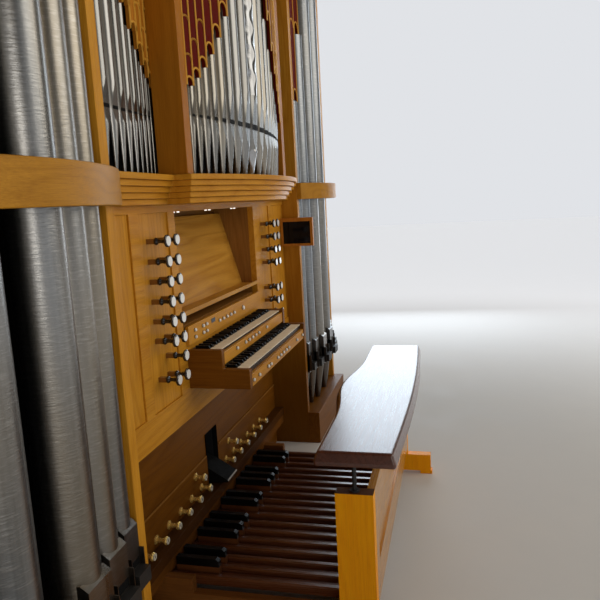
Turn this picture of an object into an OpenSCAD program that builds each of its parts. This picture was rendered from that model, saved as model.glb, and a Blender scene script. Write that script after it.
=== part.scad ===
// Two-manual pipe organ with a built-in console and a separate bench.
// Millimetres. +X is the player's right, -Y is the front, +Z is up, z = 0 is the floor.

/* [Case] */
// Height of the case over the cornice
case_h = 3600; // [3400:10:4200]
// Half of the width over the outer side boards
case_half_w = 1820; // [1800:5:1900]
// Distance from the console front back to the rear of the case
case_depth = 838; // [700:1:1200]
// Thickness of the oak side boards
board_t = 40; // [30:1:50]
// Distance from the middle to the inner face of a tower's inner board
bay_half_w = 985; // [970:1:1000]
// How far the side boards stand in front of the console front
board_proj = 120; // [100:1:140]
// Height of the tower plinths
plinth_h = 185; // [150:1:220]
// How far a plinth stands in front of the side boards
plinth_proj = 65; // [40:1:90]
// Height of the cornice
cornice_h = 120; // [80:5:160]
// Step of each board of the cornice
cornice_step = 16; // [8:1:24]
// Thickness of the rear panel
back_t = 22; // [18:1:30]

/* [Impost] */
// Height of the underside of the impost
impost_z = 1420; // [1400:1:1450]
// Thickness of one impost board
impost_board_t = 18; // [14:1:22]
// Number of impost boards
impost_n = 5; // [3:1:5]
// How far each board stands back from the one above
impost_step = 13; // [8:1:14]
// Half of the width of the projecting middle
bow_half_w = 610; // [600:1:640]
// Projection of the bow's ends in front of the straight boards
bow_end_proj = 60; // [50:1:80]
// Rise of the middle bow over its ends
bow_rise = 145; // [120:1:170]
// Depth of the impost behind the console front
impost_back = 100; // [90:1:140]
// Height of a tower's curved band
band_h = 90; // [70:1:110]
// Thickness of a tower's curved band
band_t = 28; // [20:1:36]
// Rise of a tower's bow over its ends
band_rise = 105; // [60:1:120]
// Projection of a band's ends in front of the side boards
band_end_proj = 25; // [20:1:35]

/* [Pipes] */
// Thickness of the metal of the large pipes
pipe_wall = 2.5; // [1.5:0.5:4]
// Diameters of half a tower's pipes, from the side board to the middle
tower_pipe_d = [86, 100, 122];
// Distances of those pipes from the tower's middle
tower_pipe_x = [325, 225, 103];
// Heights of those pipes' tops
tower_pipe_top = [1960, 2330, 2720];
// Depth of the tower pipes' axes in front of the console front
tower_pipe_y = 82; // [75:1:88]
// Height of the tower pipes' mouths
tower_mouth_z = 470; // [420:5:520]
// Height of a tower pipe's raised lip
tower_lip_h = 125; // [90:1:140]
// Number of pipes in a side flat
flat_n = 11; // [8:1:12]
// Share of a flat pipe's diameter that the next one keeps
flat_ratio = 0.935; // [0.92:0.005:0.96]
// Height of the flats' mouths over the impost
flat_mouth_h = 180; // [150:1:210]
// Speaking length of the shortest pipe in a flat
flat_short = 95; // [80:1:120]
// Share by which each longer flat pipe grows
flat_growth = 1.225; // [1.15:0.005:1.24]
// Depth of the flat pipes' axes in front of the console front
flat_pipe_y = 36; // [30:1:40]
// Number of pipes on each side of the middle pipe
centre_n = 10; // [8:1:10]
// Share by which the middle tower's pipes widen towards its middle
centre_ratio = 1.07; // [1.05:0.005:1.08]
// Height of the middle tower's mouths over the impost
centre_mouth_h = 185; // [150:1:210]
// Speaking length of the shortest pipe in the middle tower
centre_short = 100; // [80:1:120]
// Share by which each longer middle pipe grows
centre_growth = 1.27; // [1.15:0.005:1.28]
// Rise of the middle tower's row of pipes
centre_rise = 70; // [40:1:90]
// Gap between neighbouring pipes
pipe_gap = 2; // [1:0.5:4]

/* [Piers and shades] */
// Width of a pier's front
pier_w = 47; // [40:1:60]
// Projection of a pier in front of the console front
pier_proj = 165; // [150:1:170]
// Thickness of the pipe shades
shade_t = 12; // [8:1:18]
// Length by which a shade covers a pipe's top
shade_cover = 12; // [4:1:30]

/* [Console front] */
// Setback of the console panels behind the reference front
panel_y = 27; // [20:1:40]
// Thickness of the console panels
panel_t = 22; // [16:1:28]
// How far the frame stands in front of its panels
frame_reveal = 6; // [3:1:10]
// Half of the width of the music desk recess
recess_half_w = 440; // [430:1:445]
// Distance from the middle to the inner edge of a stop panel
jamb_in = 492; // [485:1:500]
// Distance from the middle to the outer edge of a stop panel
jamb_out = 700; // [690:1:710]
// Width of the stile beside a stop panel
stile_w = 57; // [45:1:65]
// Height of the upper edge of the panels
panel_top = 1395; // [1380:1:1400]
// Height of the upper edge of the rail below the panels
rail_top = 757; // [740:1:760]
// Height of the lower edge of that rail
rail_bottom = 656; // [640:1:680]

/* [Stops] */
// Distance of the inner stop column from the middle
stop_in_x = 574; // [560:1:580]
// Distance of the outer stop column from the middle
stop_out_x = 641; // [630:1:650]
// Height of the upper stop row
stop_top_z = 1307; // [1290:1:1320]
// Distance between stop rows
stop_pitch = 64; // [55:1:66]
// Diameter of a stop's head
stop_head_d = 39; // [30:1:45]
// Distance from the panel to a stop's face
stop_reach = 73; // [60:1:90]

/* [Keys] */
// Number of natural keys in a manual
naturals = 34; // [28:1:35]
// Width of one natural key's place
key_pitch = 23.5; // [22.5:0.1:23.6]
// Height of the lower manual's keys
lower_key_z = 830; // [820:1:840]
// Height of the upper manual over the lower one
manual_rise = 69; // [60:1:75]
// Distance from the reference front to the lower manual's front
lower_key_y = 260; // [250:1:280]
// Distance from the reference front to the upper manual's front
upper_key_y = 161; // [150:1:170]
// Depth of a natural key below its top
key_t = 20; // [16:1:24]
// Height of a sharp over the naturals
sharp_h = 11; // [9:1:13]
// Gap between neighbouring keys
key_gap = 1; // [0.6:0.1:1.4]
// Thickness of a key cheek
cheek_t = 27; // [22:1:32]
// Height of the underside of the key desk
keydesk_z = 763; // [758:1:770]

/* [Pedals] */
// Number of natural pedals
pedal_naturals_n = 18; // [16:1:18]
// Distance between natural pedals
pedal_pitch = 65; // [62:0.5:65]
// Width of a pedal
pedal_w = 24; // [20:1:26]
// Height of the natural pedals' tops
pedal_top = 120; // [110:1:125]
// Height of a sharp's block over the naturals
pedal_sharp_h = 45; // [35:1:46]
// Distance from the reference front to the sharps' tips
pedal_sharp_y = 135; // [110:1:160]
// Distance from the reference front to the pedals' heel ends
pedal_heel_y = 610; // [590:1:640]

/* [Bench] */
// Length of the seat
seat_len = 1414; // [1380:1:1430]
// Height of the seat's top
seat_top = 660; // [640:1:680]
// Thickness of the seat
seat_t = 46; // [36:1:56]
// Distance from the reference front to the seat's organ side
seat_in_y = 530; // [520:1:540]
// Distance from the reference front to the seat's outer side
seat_out_y = 805; // [790:1:820]
// How far the seat widens towards the organ at its middle
seat_bulge = 25; // [0:1:30]
// Distance from the reference front to the outer ends of the bench's feet
bench_foot_y = 838; // [830:1:850]
// Height of the bench's end posts
bench_post_h = 520; // [480:1:530]
// Diameter of the seat's lifting rods
rod_d = 14; // [10:1:18]

/* [Hidden] */
$fn = 48;
eps = 1;
clear = 0.3;
back_y = case_depth;
y_mid = (back_y - bench_foot_y) / 2;
tower_c = (bay_half_w + case_half_w) / 2;
tower_half = (case_half_w - bay_half_w) / 2;
impost_top = impost_z + impost_n * impost_board_t;
body_top = case_h - cornice_h;
band_r = (tower_half * tower_half + band_rise * band_rise) / (2 * band_rise);
bow_r = (bow_half_w * bow_half_w + bow_rise * bow_rise) / (2 * bow_rise);
frame_y = panel_y + frame_reveal;
frame_back_y = panel_y - panel_t;
upper_key_z = lower_key_z + manual_rise;
manual_half = naturals * key_pitch / 2;
manual_clear = 0.5;
cheek_in = manual_half + manual_clear;
cheek_out = cheek_in + cheek_t;
steel = [0.62, 0.64, 0.66];
oak = [0.76, 0.53, 0.24];
oak_dark = [0.52, 0.31, 0.13];
black = [0.05, 0.05, 0.05];

// Placing helpers

module placed() {
    translate([0, -y_mid, 0]) children();
}

// A box between two corners
module block(low, high) {
    translate(low) cube(high - low);
}

// The same shape on the left and on the right
module both_sides() {
    children();
    mirror([1, 0, 0]) children();
}

// A profile drawn as [y, z] and drawn out along X from x0 to x1
module across(x0, x1) {
    translate([x0, 0, 0]) rotate([90, 0, 90]) linear_extrude(x1 - x0) children();
}

// A profile drawn as [x, z] and drawn out along Y from y0 to y1
module along(y0, y1) {
    translate([0, y1, 0]) rotate([90, 0, 0]) linear_extrude(y1 - y0) children();
}

// Plan of a bow with its chord on y = 0, grown by o
module bow_plan(half_w, rise, r, o) {
    intersection() {
        translate([0, r - rise]) circle(r + o, $fn = 96);
        translate([-half_w - o, -rise - o]) square([2 * (half_w + o), rise + o + eps]);
    }
}

// Plan of the straight impost and its middle bow, grown by o
module impost_plan(o) {
    translate([-bay_half_w, -board_proj - o]) square([2 * bay_half_w, board_proj + o + impost_back]);
    translate([0, -board_proj - bow_end_proj]) bow_plan(bow_half_w, bow_rise, bow_r, o);
    translate([-bow_half_w - o, -board_proj - bow_end_proj])
        square([2 * (bow_half_w + o), bow_end_proj + eps]);
}

// Plan of the whole case head, grown by o
module head_plan(o) {
    translate([-case_half_w - o, -board_proj - o])
        square([2 * (case_half_w + o), board_proj + o + back_y]);
    for (side = [-1, 1])
        translate([side * tower_c, -board_proj - band_end_proj]) {
            bow_plan(tower_half, band_rise, band_r, o);
            translate([-tower_half - o, -eps]) square([2 * (tower_half + o), band_end_proj + 2 * eps]);
        }
    translate([0, -board_proj - bow_end_proj]) {
        bow_plan(bow_half_w, bow_rise, bow_r, o);
        translate([-bow_half_w - o, -eps]) square([2 * (bow_half_w + o), bow_end_proj + 2 * eps]);
    }
}

// Case

module tower_plinths() {
    color(oak) both_sides() {
        block([bay_half_w, -board_proj - plinth_proj, 0], [case_half_w, -board_proj, plinth_h]);
        block([bay_half_w + board_t, -board_proj - eps, 0], [case_half_w - board_t, impost_back, plinth_h]);
    }
}

module tower_inner_boards() {
    color(oak) both_sides()
        block([bay_half_w, -board_proj, 0], [bay_half_w + board_t, impost_back + 80, body_top]);
}

module tower_outer_boards() {
    panel_n = 4;
    stile = 110;
    recess = 8;
    pitch = (body_top - stile) / panel_n;
    color(oak) both_sides() difference() {
        block([case_half_w - board_t, -board_proj, 0], [case_half_w, back_y, body_top]);
        for (i = [0 : panel_n - 1])
            block([case_half_w - recess, -board_proj + stile, stile + i * pitch],
                  [case_half_w + eps, back_y - stile, (i + 1) * pitch]);
    }
}

module case_back() {
    column_n = 4;
    row_n = 4;
    stile = 90;
    recess = 6;
    half = case_half_w - board_t;
    pitch_x = (2 * half - stile) / column_n;
    pitch_z = (body_top - stile) / row_n;
    color(oak) difference() {
        union() {
            block([-half, back_y - back_t, 0], [half, back_y, body_top]);
            block([-case_half_w + cornice_rim, back_y - back_t, body_top - eps],
                  [case_half_w - cornice_rim, back_y, case_h - 2 * roof_t]);
        }
        for (i = [0 : column_n - 1], j = [0 : row_n - 1])
            block([-half + stile + i * pitch_x, back_y - recess, stile + j * pitch_z],
                  [-half + (i + 1) * pitch_x, back_y + eps, (j + 1) * pitch_z]);
    }
}

cornice_n = 4;
cornice_rim = 60;
roof_t = 20;

module cornice() {
    layer = cornice_h / cornice_n;
    color(oak) for (i = [0 : cornice_n - 1])
        translate([0, 0, body_top + i * layer]) linear_extrude(layer) difference() {
            intersection() {
                head_plan(i * cornice_step);
                translate([-2 * case_half_w, -back_y]) square([4 * case_half_w, 2 * back_y]);
            }
            head_plan(-cornice_rim);
        }
}

module case_roof() {
    color(oak) translate([0, 0, case_h - 2 * roof_t]) linear_extrude(roof_t) head_plan(-cornice_rim);
}

module impost() {
    color(oak) for (i = [0 : impost_n - 1])
        translate([0, 0, impost_top - (i + 1) * impost_board_t])
            linear_extrude(impost_board_t) impost_plan(-i * impost_step);
}

module tower_bands() {
    color(oak) both_sides() translate([tower_c, -board_proj, impost_z]) linear_extrude(band_h)
        difference() {
            translate([0, -band_end_proj]) {
                bow_plan(tower_half, band_rise, band_r, 0);
                translate([-tower_half, -eps]) square([2 * tower_half, band_end_proj + eps]);
            }
            intersection() {
                translate([0, -band_end_proj + band_r - band_rise]) circle(band_r - band_t, $fn = 96);
                translate([-tower_half + board_t, -2 * band_rise])
                    square([2 * (tower_half - board_t), 3 * band_rise]);
            }
        }
}

pier_out = pier_w + 553;
pier_in = 553;

module centre_piers() {
    color(oak) both_sides()
        block([pier_in, -pier_proj, impost_top], [pier_out, impost_back, body_top]);
}

// Pipes

// One metal pipe standing at [x, y, z0]: a cone-shaped foot up to the mouth and an open body
module pipe(x, y, z0, d, mouth, top, wall, raised) {
    r = d / 2;
    cut = d * 0.22;
    mouth_w = d * 0.72;
    tip = r * 0.24;
    translate([x, y, z0]) {
        difference() {
            rotate_extrude() polygon([
                [tip - wall, 0], [tip, 0], [r, mouth], [r, top], [r - wall, top],
                [r - wall, mouth], [tip - wall, wall * 2]
            ]);
            block([-mouth_w / 2, -r - eps, mouth], [mouth_w / 2, -r * 0.45, mouth + cut]);
        }
        translate([0, 0, mouth - wall]) cylinder(h = wall, r = r - wall / 2);
    }
}

module raised_lip(x, y, z, d) {
    r = d / 2;
    w = d * 0.80;
    lip_t = 5;
    translate([x, y, z]) difference() {
        block([-w / 2, -r - lip_t, 0], [w / 2, -r * 0.5, tower_lip_h]);
        translate([0, 0, -eps]) cylinder(h = tower_lip_h + 2 * eps, r = r);
    }
}

module tower_pipes(side) {
    color(steel) for (s = [-1, 1], i = [0 : len(tower_pipe_d) - 1]) {
        x = side * tower_c + s * tower_pipe_x[i];
        d = tower_pipe_d[i];
        mouth = tower_mouth_z - plinth_h;
        pipe(x, -tower_pipe_y, plinth_h, d, mouth, tower_pipe_top[i] - plinth_h, pipe_wall, true);
    }
}

function series(first, ratio, n) = ratio == 1 ? n * first : first * (pow(ratio, n) - 1) / (ratio - 1);

flat_w = bay_half_w - pier_out;
flat_first = (flat_w - 4) * (flat_ratio - 1) / (pow(flat_ratio, flat_n) - 1);
function flat_x(i) = bay_half_w - 2 - series(flat_first, flat_ratio, i + 0.5);
function flat_d(i) = flat_first * pow(flat_ratio, i) - pipe_gap;
function flat_top(i) = flat_mouth_h + flat_short * pow(flat_growth, flat_n - 1 - i);

module flat_pipes(side) {
    thin = 1.2;
    color(steel) for (i = [0 : flat_n - 1])
        pipe(side * flat_x(i), -flat_pipe_y, impost_top, flat_d(i), flat_mouth_h, flat_top(i), thin, false);
}

centre_w = pier_in - 2;
centre_first = centre_w / (series(1, centre_ratio, centre_n) + pow(centre_ratio, centre_n) / 2);
function centre_pitch(k) = centre_first * pow(centre_ratio, centre_n - k);
function centre_x(k) = k == 0 ? 0 : centre_x(k - 1) + (centre_pitch(k - 1) + centre_pitch(k)) / 2;
function centre_top(k) = centre_mouth_h + centre_short * pow(centre_growth, centre_n - k);
centre_r = (centre_w * centre_w + centre_rise * centre_rise) / (2 * centre_rise);
centre_front = pier_proj - 15 + centre_rise;
function centre_front_y(x) = -centre_front + centre_r - sqrt(centre_r * centre_r - x * x);

module centre_pipes() {
    thin = 1.5;
    color(steel) for (k = [-centre_n : centre_n]) {
        x = sign(k) * centre_x(abs(k));
        d = centre_pitch(abs(k)) - pipe_gap;
        pipe(x, centre_front_y(x) + d / 2, impost_top, d, centre_mouth_h, centre_top(abs(k)), thin, false);
    }
}

// One shade leaf over a pipe: a strip with a round-arched lower end, drawn as [x, z]
module shade_leaf(x, w, z_low, z_high) {
    arch = w * 0.36;
    difference() {
        translate([x - w / 2, z_low]) square([w, z_high - z_low]);
        translate([x, z_low]) circle(arch, $fn = 24);
    }
}

module tower_shades() {
    shade_y = board_proj - shade_t - 2;
    n = len(tower_pipe_d);
    edge = [tower_half - board_t, 275, 165, 0];
    color("darkred") both_sides() along(-shade_y - shade_t, -shade_y)
        for (s = [-1, 1], i = [0 : n - 1])
            shade_leaf(tower_c + s * (edge[i] + edge[i + 1]) / 2, edge[i] - edge[i + 1],
                       tower_pipe_top[i] + 2, body_top);
}

module flat_shades() {
    shade_y = flat_pipe_y + flat_d(0) / 2 + clear;
    color(oak_dark) both_sides() {
        along(-shade_y - shade_t, -shade_y) {
            for (i = [0 : flat_n - 1])
                shade_leaf(flat_x(i), flat_d(i) + pipe_gap, impost_top + flat_top(i) - shade_cover, body_top);
        }
        block([bay_half_w - 2, -shade_y - shade_t, body_top - 900], [bay_half_w, -shade_y, body_top]);
        block([pier_out, -shade_y - shade_t, impost_top + flat_top(flat_n - 1)],
              [pier_out + 2, -shade_y, body_top]);
    }
}

module centre_shade() {
    color("darkred") intersection() {
        translate([0, centre_r - centre_front, 0]) difference() {
            cylinder(h = case_h, r = centre_r + clear + shade_t, $fn = 96);
            translate([0, 0, -eps]) cylinder(h = case_h + 2 * eps, r = centre_r + clear, $fn = 96);
        }
        along(-centre_front - 2 * shade_t, 0) {
            for (k = [-centre_n : centre_n])
                shade_leaf(sign(k) * centre_x(abs(k)), centre_pitch(abs(k)),
                           impost_top + centre_top(abs(k)) - shade_cover, body_top);
            for (side = [-1, 1])
                translate([side * (pier_in - 2) - 2, impost_top + centre_top(centre_n)])
                    square([4, body_top - impost_top - centre_top(centre_n)]);
        }
    }
}

// Console front

module console_frame() {
    color(oak) difference() {
        block([-bay_half_w, -frame_y, rail_bottom], [bay_half_w, -frame_back_y, impost_z]);
        block([-recess_half_w, -frame_y - eps, recess_floor - lining_t],
              [recess_half_w, -frame_back_y + eps, panel_top]);
        both_sides() {
            block([jamb_in, -frame_y - eps, rail_top], [jamb_out, -frame_back_y + eps, panel_top]);
            block([jamb_out + stile_w, -frame_y - eps, rail_top],
                  [bay_half_w + eps, -frame_back_y + eps, panel_top]);
        }
    }
}

module console_panels() {
    color(oak) both_sides() {
        block([jamb_in, -panel_y, rail_top], [jamb_out, -frame_back_y, panel_top]);
        block([jamb_out + stile_w, -panel_y, rail_top], [bay_half_w, -frame_back_y, panel_top]);
    }
}

// One stop: a square rod, a turned black shank and a white-faced head
module stop_knob(x, z) {
    rod = 16;
    rod_len = 27;
    head_t = 9;
    head_r = stop_head_d / 2;
    face_r = head_r * 0.82;
    translate([x, -panel_y, z]) {
        block([-rod / 2, -rod_len, -rod / 2], [rod / 2, 0, rod / 2]);
        translate([0, -rod_len + eps, 0]) rotate([90, 0, 0]) rotate_extrude() polygon([
            [0, 0], [10, 0], [12, 4], [11, 8], [7, 12], [6, 20],
            [8, 30], [head_r * 0.8, stop_reach - rod_len - head_t + eps],
            [head_r, stop_reach - rod_len - head_t + 3], [head_r, stop_reach - rod_len - 1],
            [face_r, stop_reach - rod_len + eps], [0, stop_reach - rod_len + eps]
        ]);
    }
}

left_outer_rows = [1, 2, 3, 4, 5, 6, 8];
left_inner_rows = [1, 2, 3, 4, 5, 6, 7, 8];
right_rows = [1, 2, 3, 4, 6, 7];
function stop_z(row) = stop_top_z - (row - 1) * stop_pitch;

module stops_left() {
    color("black") {
        for (row = left_outer_rows) stop_knob(-stop_out_x, stop_z(row));
        for (row = left_inner_rows) stop_knob(-stop_in_x, stop_z(row));
    }
}

module stops_right() {
    color("black") for (row = right_rows, x = [stop_in_x, stop_out_x]) stop_knob(x, stop_z(row));
}

recess_depth = 165;
recess_floor = 985;
lining_t = 14;

module desk_recess() {
    color(oak_dark) difference() {
        block([-recess_half_w - lining_t, -frame_back_y, recess_floor - lining_t],
              [recess_half_w + lining_t, recess_depth + lining_t, panel_top + lining_t]);
        block([-recess_half_w, -frame_back_y - eps, recess_floor],
              [recess_half_w, recess_depth, panel_top]);
    }
}

light_x = [-330, -290, -20, 20, 290, 330];

module recess_lights() {
    color("white") for (x = light_x) translate([x, 20, panel_top - 4]) cylinder(h = 4, r = 9);
}

desk_foot_y = 38;
desk_foot_z = 1012;
desk_head_y = 137;
desk_head_z = 1372;
desk_t = 12;
ledge_front = 45;

module music_desk() {
    reach = recess_half_w - clear;
    color(oak) union() {
        across(-reach, reach) polygon([
            [desk_foot_y, desk_foot_z - desk_t], [desk_foot_y + desk_t, desk_foot_z - desk_t],
            [desk_head_y + desk_t, desk_head_z], [desk_head_y, desk_head_z]
        ]);
        across(-reach, reach) polygon([
            [-ledge_front, desk_foot_z - desk_t], [desk_foot_y + desk_t, desk_foot_z - desk_t],
            [desk_foot_y + desk_t, desk_foot_z], [-ledge_front + 10, desk_foot_z],
            [-ledge_front + 10, desk_foot_z + 12], [-ledge_front, desk_foot_z + 12]
        ]);
    }
}

piston_panel_z = [913, 985];
piston_panel_t = 12;

module piston_panel() {
    color(oak) block([-cheek_out, -frame_y - piston_panel_t, piston_panel_z[0]],
                     [cheek_out, -frame_y, piston_panel_z[1]]);
}

// One thumb piston standing out of a vertical face at [x, -y, z]
module thumb_piston(x, y, z, r) {
    translate([x, -y, z]) rotate([90, 0, 0]) cylinder(h = 7, r = r);
}

slip_t = 14;
lower_slip_y = lower_key_y + slip_t;
upper_slip_y = upper_key_y + slip_t;

module thumb_pistons() {
    panel_face = frame_y + piston_panel_t;
    upper_row = [-300, -150, -128, 0, 22, 44, 66, 88, 250];
    lower_row = [-340, -300, -160, -138, -20, 2, 24, 46, 68, 240, 320];
    color("white") {
        for (x = [-365, -300, -280, -260, -60, -38, -16, 6, 28, 160])
            thumb_piston(x, panel_face, piston_panel_z[0] + 30, 6);
        for (x = upper_row) thumb_piston(x, upper_slip_y, lower_key_z + 35, 6);
        for (x = lower_row) thumb_piston(x, lower_slip_y, keydesk_z + 32, 6);
    }
}

// Key desk

key_desk_profile = [
    [-frame_y, keydesk_z], [-lower_slip_y, keydesk_z], [-lower_slip_y, lower_key_z + 8],
    [-upper_slip_y - 4, lower_key_z + 8], [-upper_slip_y - 4, upper_key_z + 9],
    [-frame_y, upper_key_z + 9]
];

module key_desk() {
    bed_t = 16;
    color(oak_dark) {
        both_sides() across(cheek_in, cheek_out) polygon(key_desk_profile);
        block([-cheek_in - eps, -lower_slip_y, keydesk_z], [cheek_in + eps, -frame_y, keydesk_z + bed_t]);
        block([-cheek_in - eps, -lower_key_y, keydesk_z], [cheek_in + eps, -frame_y, lower_key_z - key_t]);
        block([-cheek_in - eps, -upper_key_y, upper_key_z - key_t - bed_t],
              [cheek_in + eps, -frame_y, upper_key_z - key_t]);
    }
}

module lower_keyslip() {
    color(oak) block([-cheek_in, -lower_slip_y, keydesk_z + 16],
                     [cheek_in, -lower_slip_y + slip_t - clear, lower_key_z - 3]);
}

module upper_keyslip() {
    color(oak) block([-cheek_in, -upper_slip_y, lower_key_z + 14],
                     [cheek_in, -upper_slip_y + slip_t - clear, upper_key_z - 3]);
}

sharp_offset = [-2.5, 2.5, 0, -3, 0, 3];
function has_sharp(i) = i % 7 != 2 && i % 7 != 6;
function sharp_x(i) = -manual_half + (i + 1) * key_pitch + sharp_offset[i % 7];
sharp_w = 11;
head_len = 50;

module manual_naturals(front_y, z, back) {
    difference() {
        for (i = [0 : naturals - 1])
            block([-manual_half + i * key_pitch + key_gap / 2, -front_y, z - key_t],
                  [-manual_half + (i + 1) * key_pitch - key_gap / 2, -back, z]);
        for (i = [0 : naturals - 2])
            if (has_sharp(i))
                block([sharp_x(i) - sharp_w / 2 - key_gap, -front_y + head_len, z - key_t - eps],
                      [sharp_x(i) + sharp_w / 2 + key_gap, -back + eps, z + eps]);
    }
}

module manual_sharps(front_y, z, back) {
    slope = 5;
    for (i = [0 : naturals - 2])
        if (has_sharp(i))
            across(sharp_x(i) - sharp_w / 2, sharp_x(i) + sharp_w / 2) polygon([
                [-front_y + head_len + key_gap, z - key_t], [-back, z - key_t], [-back, z + sharp_h],
                [-front_y + head_len + key_gap + slope, z + sharp_h], [-front_y + head_len + key_gap, z + 2]
            ]);
}

module lower_naturals() {
    color("ivory") manual_naturals(lower_key_y, lower_key_z, frame_y + 20);
}

module lower_sharps() {
    color(black) manual_sharps(lower_key_y, lower_key_z, upper_slip_y + 2);
}

module upper_naturals() {
    color("ivory") manual_naturals(upper_key_y, upper_key_z, frame_y);
}

module upper_sharps() {
    color(black) manual_sharps(upper_key_y, upper_key_z, frame_y + 15);
}

// Knee board, toe board and pedals

knee_y = 85;
ledge_z = 350;
board_18 = 18;
swell_half_w = 64;
swell_top = 443;
swell_low = 190;
toe_rail_top = 215;
toe_rail_bottom = 172;
toe_face_y = 82;

module swell_opening() {
    block([-swell_half_w, 0, swell_low], [swell_half_w, 200, swell_top]);
}

module knee_board() {
    color(oak_dark) difference() {
        across(-bay_half_w, bay_half_w) polygon([
            [knee_y, ledge_z], [knee_y + board_18, ledge_z], [knee_y + board_18, rail_bottom + board_18],
            [-frame_back_y, rail_bottom + board_18], [-frame_back_y, rail_bottom], [knee_y, rail_bottom]
        ]);
        swell_opening();
    }
}

module toe_board() {
    toe_t = 20;
    color(oak_dark) difference() {
        block([-bay_half_w, toe_face_y, toe_rail_bottom], [bay_half_w, toe_face_y + toe_t, ledge_z]);
        swell_opening();
    }
}

module toe_rail() {
    color(oak_dark) block([-bay_half_w, 30, toe_rail_bottom], [bay_half_w, toe_face_y, toe_rail_top]);
}

// One toe piston: a stem, a collar and a mushroom head
module toe_piston(x, z) {
    translate([x, toe_face_y, z]) rotate([90, 0, 0]) rotate_extrude() polygon([
        [0, 0], [16, 0], [16, 4], [8, 8], [8, 30], [14, 36], [15, 42], [12, 46], [0, 48]
    ]);
}

toe_low_x = [147, 252, 357, 461, 566, 670];
toe_high_x = 197;

module toe_pistons() {
    color("gold") both_sides() {
        for (x = toe_low_x) toe_piston(x, 245);
        toe_piston(toe_high_x, 314);
    }
}

swell_box_t = 8;
swell_depth = 120;
swell_box_y = knee_y + board_18;

module swell_frame() {
    color(black) difference() {
        block([-swell_half_w - swell_box_t, swell_box_y, swell_low - swell_box_t],
              [swell_half_w + swell_box_t, swell_box_y + swell_depth, swell_top + swell_box_t]);
        block([-swell_half_w, swell_box_y - eps, swell_low],
              [swell_half_w, swell_box_y + swell_depth - swell_box_t, swell_top]);
    }
    color(black) translate([-swell_half_w - eps, swell_axis[0], swell_axis[1]]) rotate([0, 90, 0])
        cylinder(h = 2 * swell_half_w + 2 * eps, r = swell_pin_r);
}

swell_axis = [118, 228];
swell_pin_r = 5.7;

module swell_pedal() {
    half = swell_half_w - 6;
    color(black) difference() {
        across(-half, half) polygon([
            [-4, 232], [-2, 241], [150, 400], [160, 394], [128, 300], [130, 222], [118, 214], [104, 222]
        ]);
        translate([-half - eps, swell_axis[0], swell_axis[1]]) rotate([0, 90, 0])
            cylinder(h = 2 * half + 2 * eps, r = swell_pin_r + clear);
    }
}

pedal_half = pedal_naturals_n * pedal_pitch / 2;
function pedal_x(i) = -pedal_half + (i + 0.5) * pedal_pitch;
pedal_t = 32;
pedal_toe_y = 60;
rail_h = pedal_top - pedal_t;
pedal_side_t = 36;

module pedal_frame() {
    outer = pedal_half + pedal_side_t;
    color(oak_dark) {
        both_sides() {
            block([pedal_half, -pedal_heel_y - 40, 0], [outer, pedal_toe_y + 30, rail_h]);
            block([pedal_half, -70, rail_h - eps], [outer, pedal_toe_y + 30, pedal_top + 20]);
        }
        block([-outer, -pedal_heel_y - 40, 0], [outer, -pedal_heel_y + 30, rail_h]);
        block([-outer, pedal_toe_y - 20, 0], [outer, pedal_toe_y + 30, rail_h]);
    }
}

module pedal_naturals() {
    color(oak_dark) for (i = [0 : pedal_naturals_n - 1])
        block([pedal_x(i) - pedal_w / 2, -pedal_heel_y, rail_h],
              [pedal_x(i) + pedal_w / 2, pedal_toe_y + 20, pedal_top]);
}

module pedal_sharps() {
    stick_drop = 12;
    top = pedal_top + pedal_sharp_h;
    color(black) for (i = [0 : pedal_naturals_n - 2])
        if (has_sharp(i))
            across(pedal_x(i) + pedal_pitch / 2 - pedal_w / 2, pedal_x(i) + pedal_pitch / 2 + pedal_w / 2)
                polygon([
                    [-pedal_heel_y, rail_h], [pedal_toe_y + 20, rail_h], [pedal_toe_y + 20, top],
                    [-pedal_sharp_y + 12, top], [-pedal_sharp_y, top - 8],
                    [-pedal_sharp_y, pedal_top - stick_drop], [-pedal_heel_y, pedal_top - stick_drop]
                ]);
}

// Bench

post_x = 660;
post_w = 45;
post_y = [598, 716];
foot_h = 85;
pad_h = 15;
foot_in_y = 500;
rod_y = 657;
rod_sunk = 130;
seat_travel = 60;

// The bore that a lifting rod slides in, with room below for the seat's travel
module rod_hole(r) {
    depth = rod_sunk + seat_travel + 10;
    translate([post_x, -rod_y, bench_post_h - depth]) cylinder(h = depth + 20, r = r);
}

module bench_ends() {
    color(oak) both_sides() difference() {
        bench_end();
        rod_hole(rod_d / 2 + clear);
    }
}

module bench_sockets() {
    color(black) both_sides() difference() {
        translate([post_x, -rod_y, bench_post_h]) cylinder(h = 5, r = 16);
        rod_hole(rod_d / 2 + clear);
    }
}

module bench_end() {
    union() {
        block([post_x - post_w / 2, -post_y[1], pad_h + foot_h - eps], [post_x + post_w / 2, -post_y[0], bench_post_h]);
        block([post_x - post_w / 2, -bench_foot_y + 7, pad_h], [post_x + post_w / 2, -foot_in_y, pad_h + foot_h]);
        block([post_x - post_w / 2, -bench_foot_y, 0], [post_x + post_w / 2, -bench_foot_y + 60, pad_h + eps]);
        block([post_x - post_w / 2, -foot_in_y - 60, 0], [post_x + post_w / 2, -foot_in_y, pad_h + eps]);
    }
}

module bench_panel() {
    half = post_x - post_w / 2;
    low = 250;
    color(oak) difference() {
        block([-half, -post_y[1], low], [half, -post_y[1] + 24, bench_post_h]);
        block([-half + 60, -post_y[1] - eps, low + 50], [half - 60, -post_y[1] + 8, bench_post_h - 50]);
    }
}

seat_z = seat_top - seat_t;

module bench_rods() {
    color(black) both_sides() translate([post_x, -rod_y, 0]) {
        translate([0, 0, bench_post_h - rod_sunk])
            cylinder(h = seat_z - bench_post_h + rod_sunk, r = rod_d / 2);
        translate([0, 0, seat_z - 6]) cylinder(h = 6, r = 20);
    }
}

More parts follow.
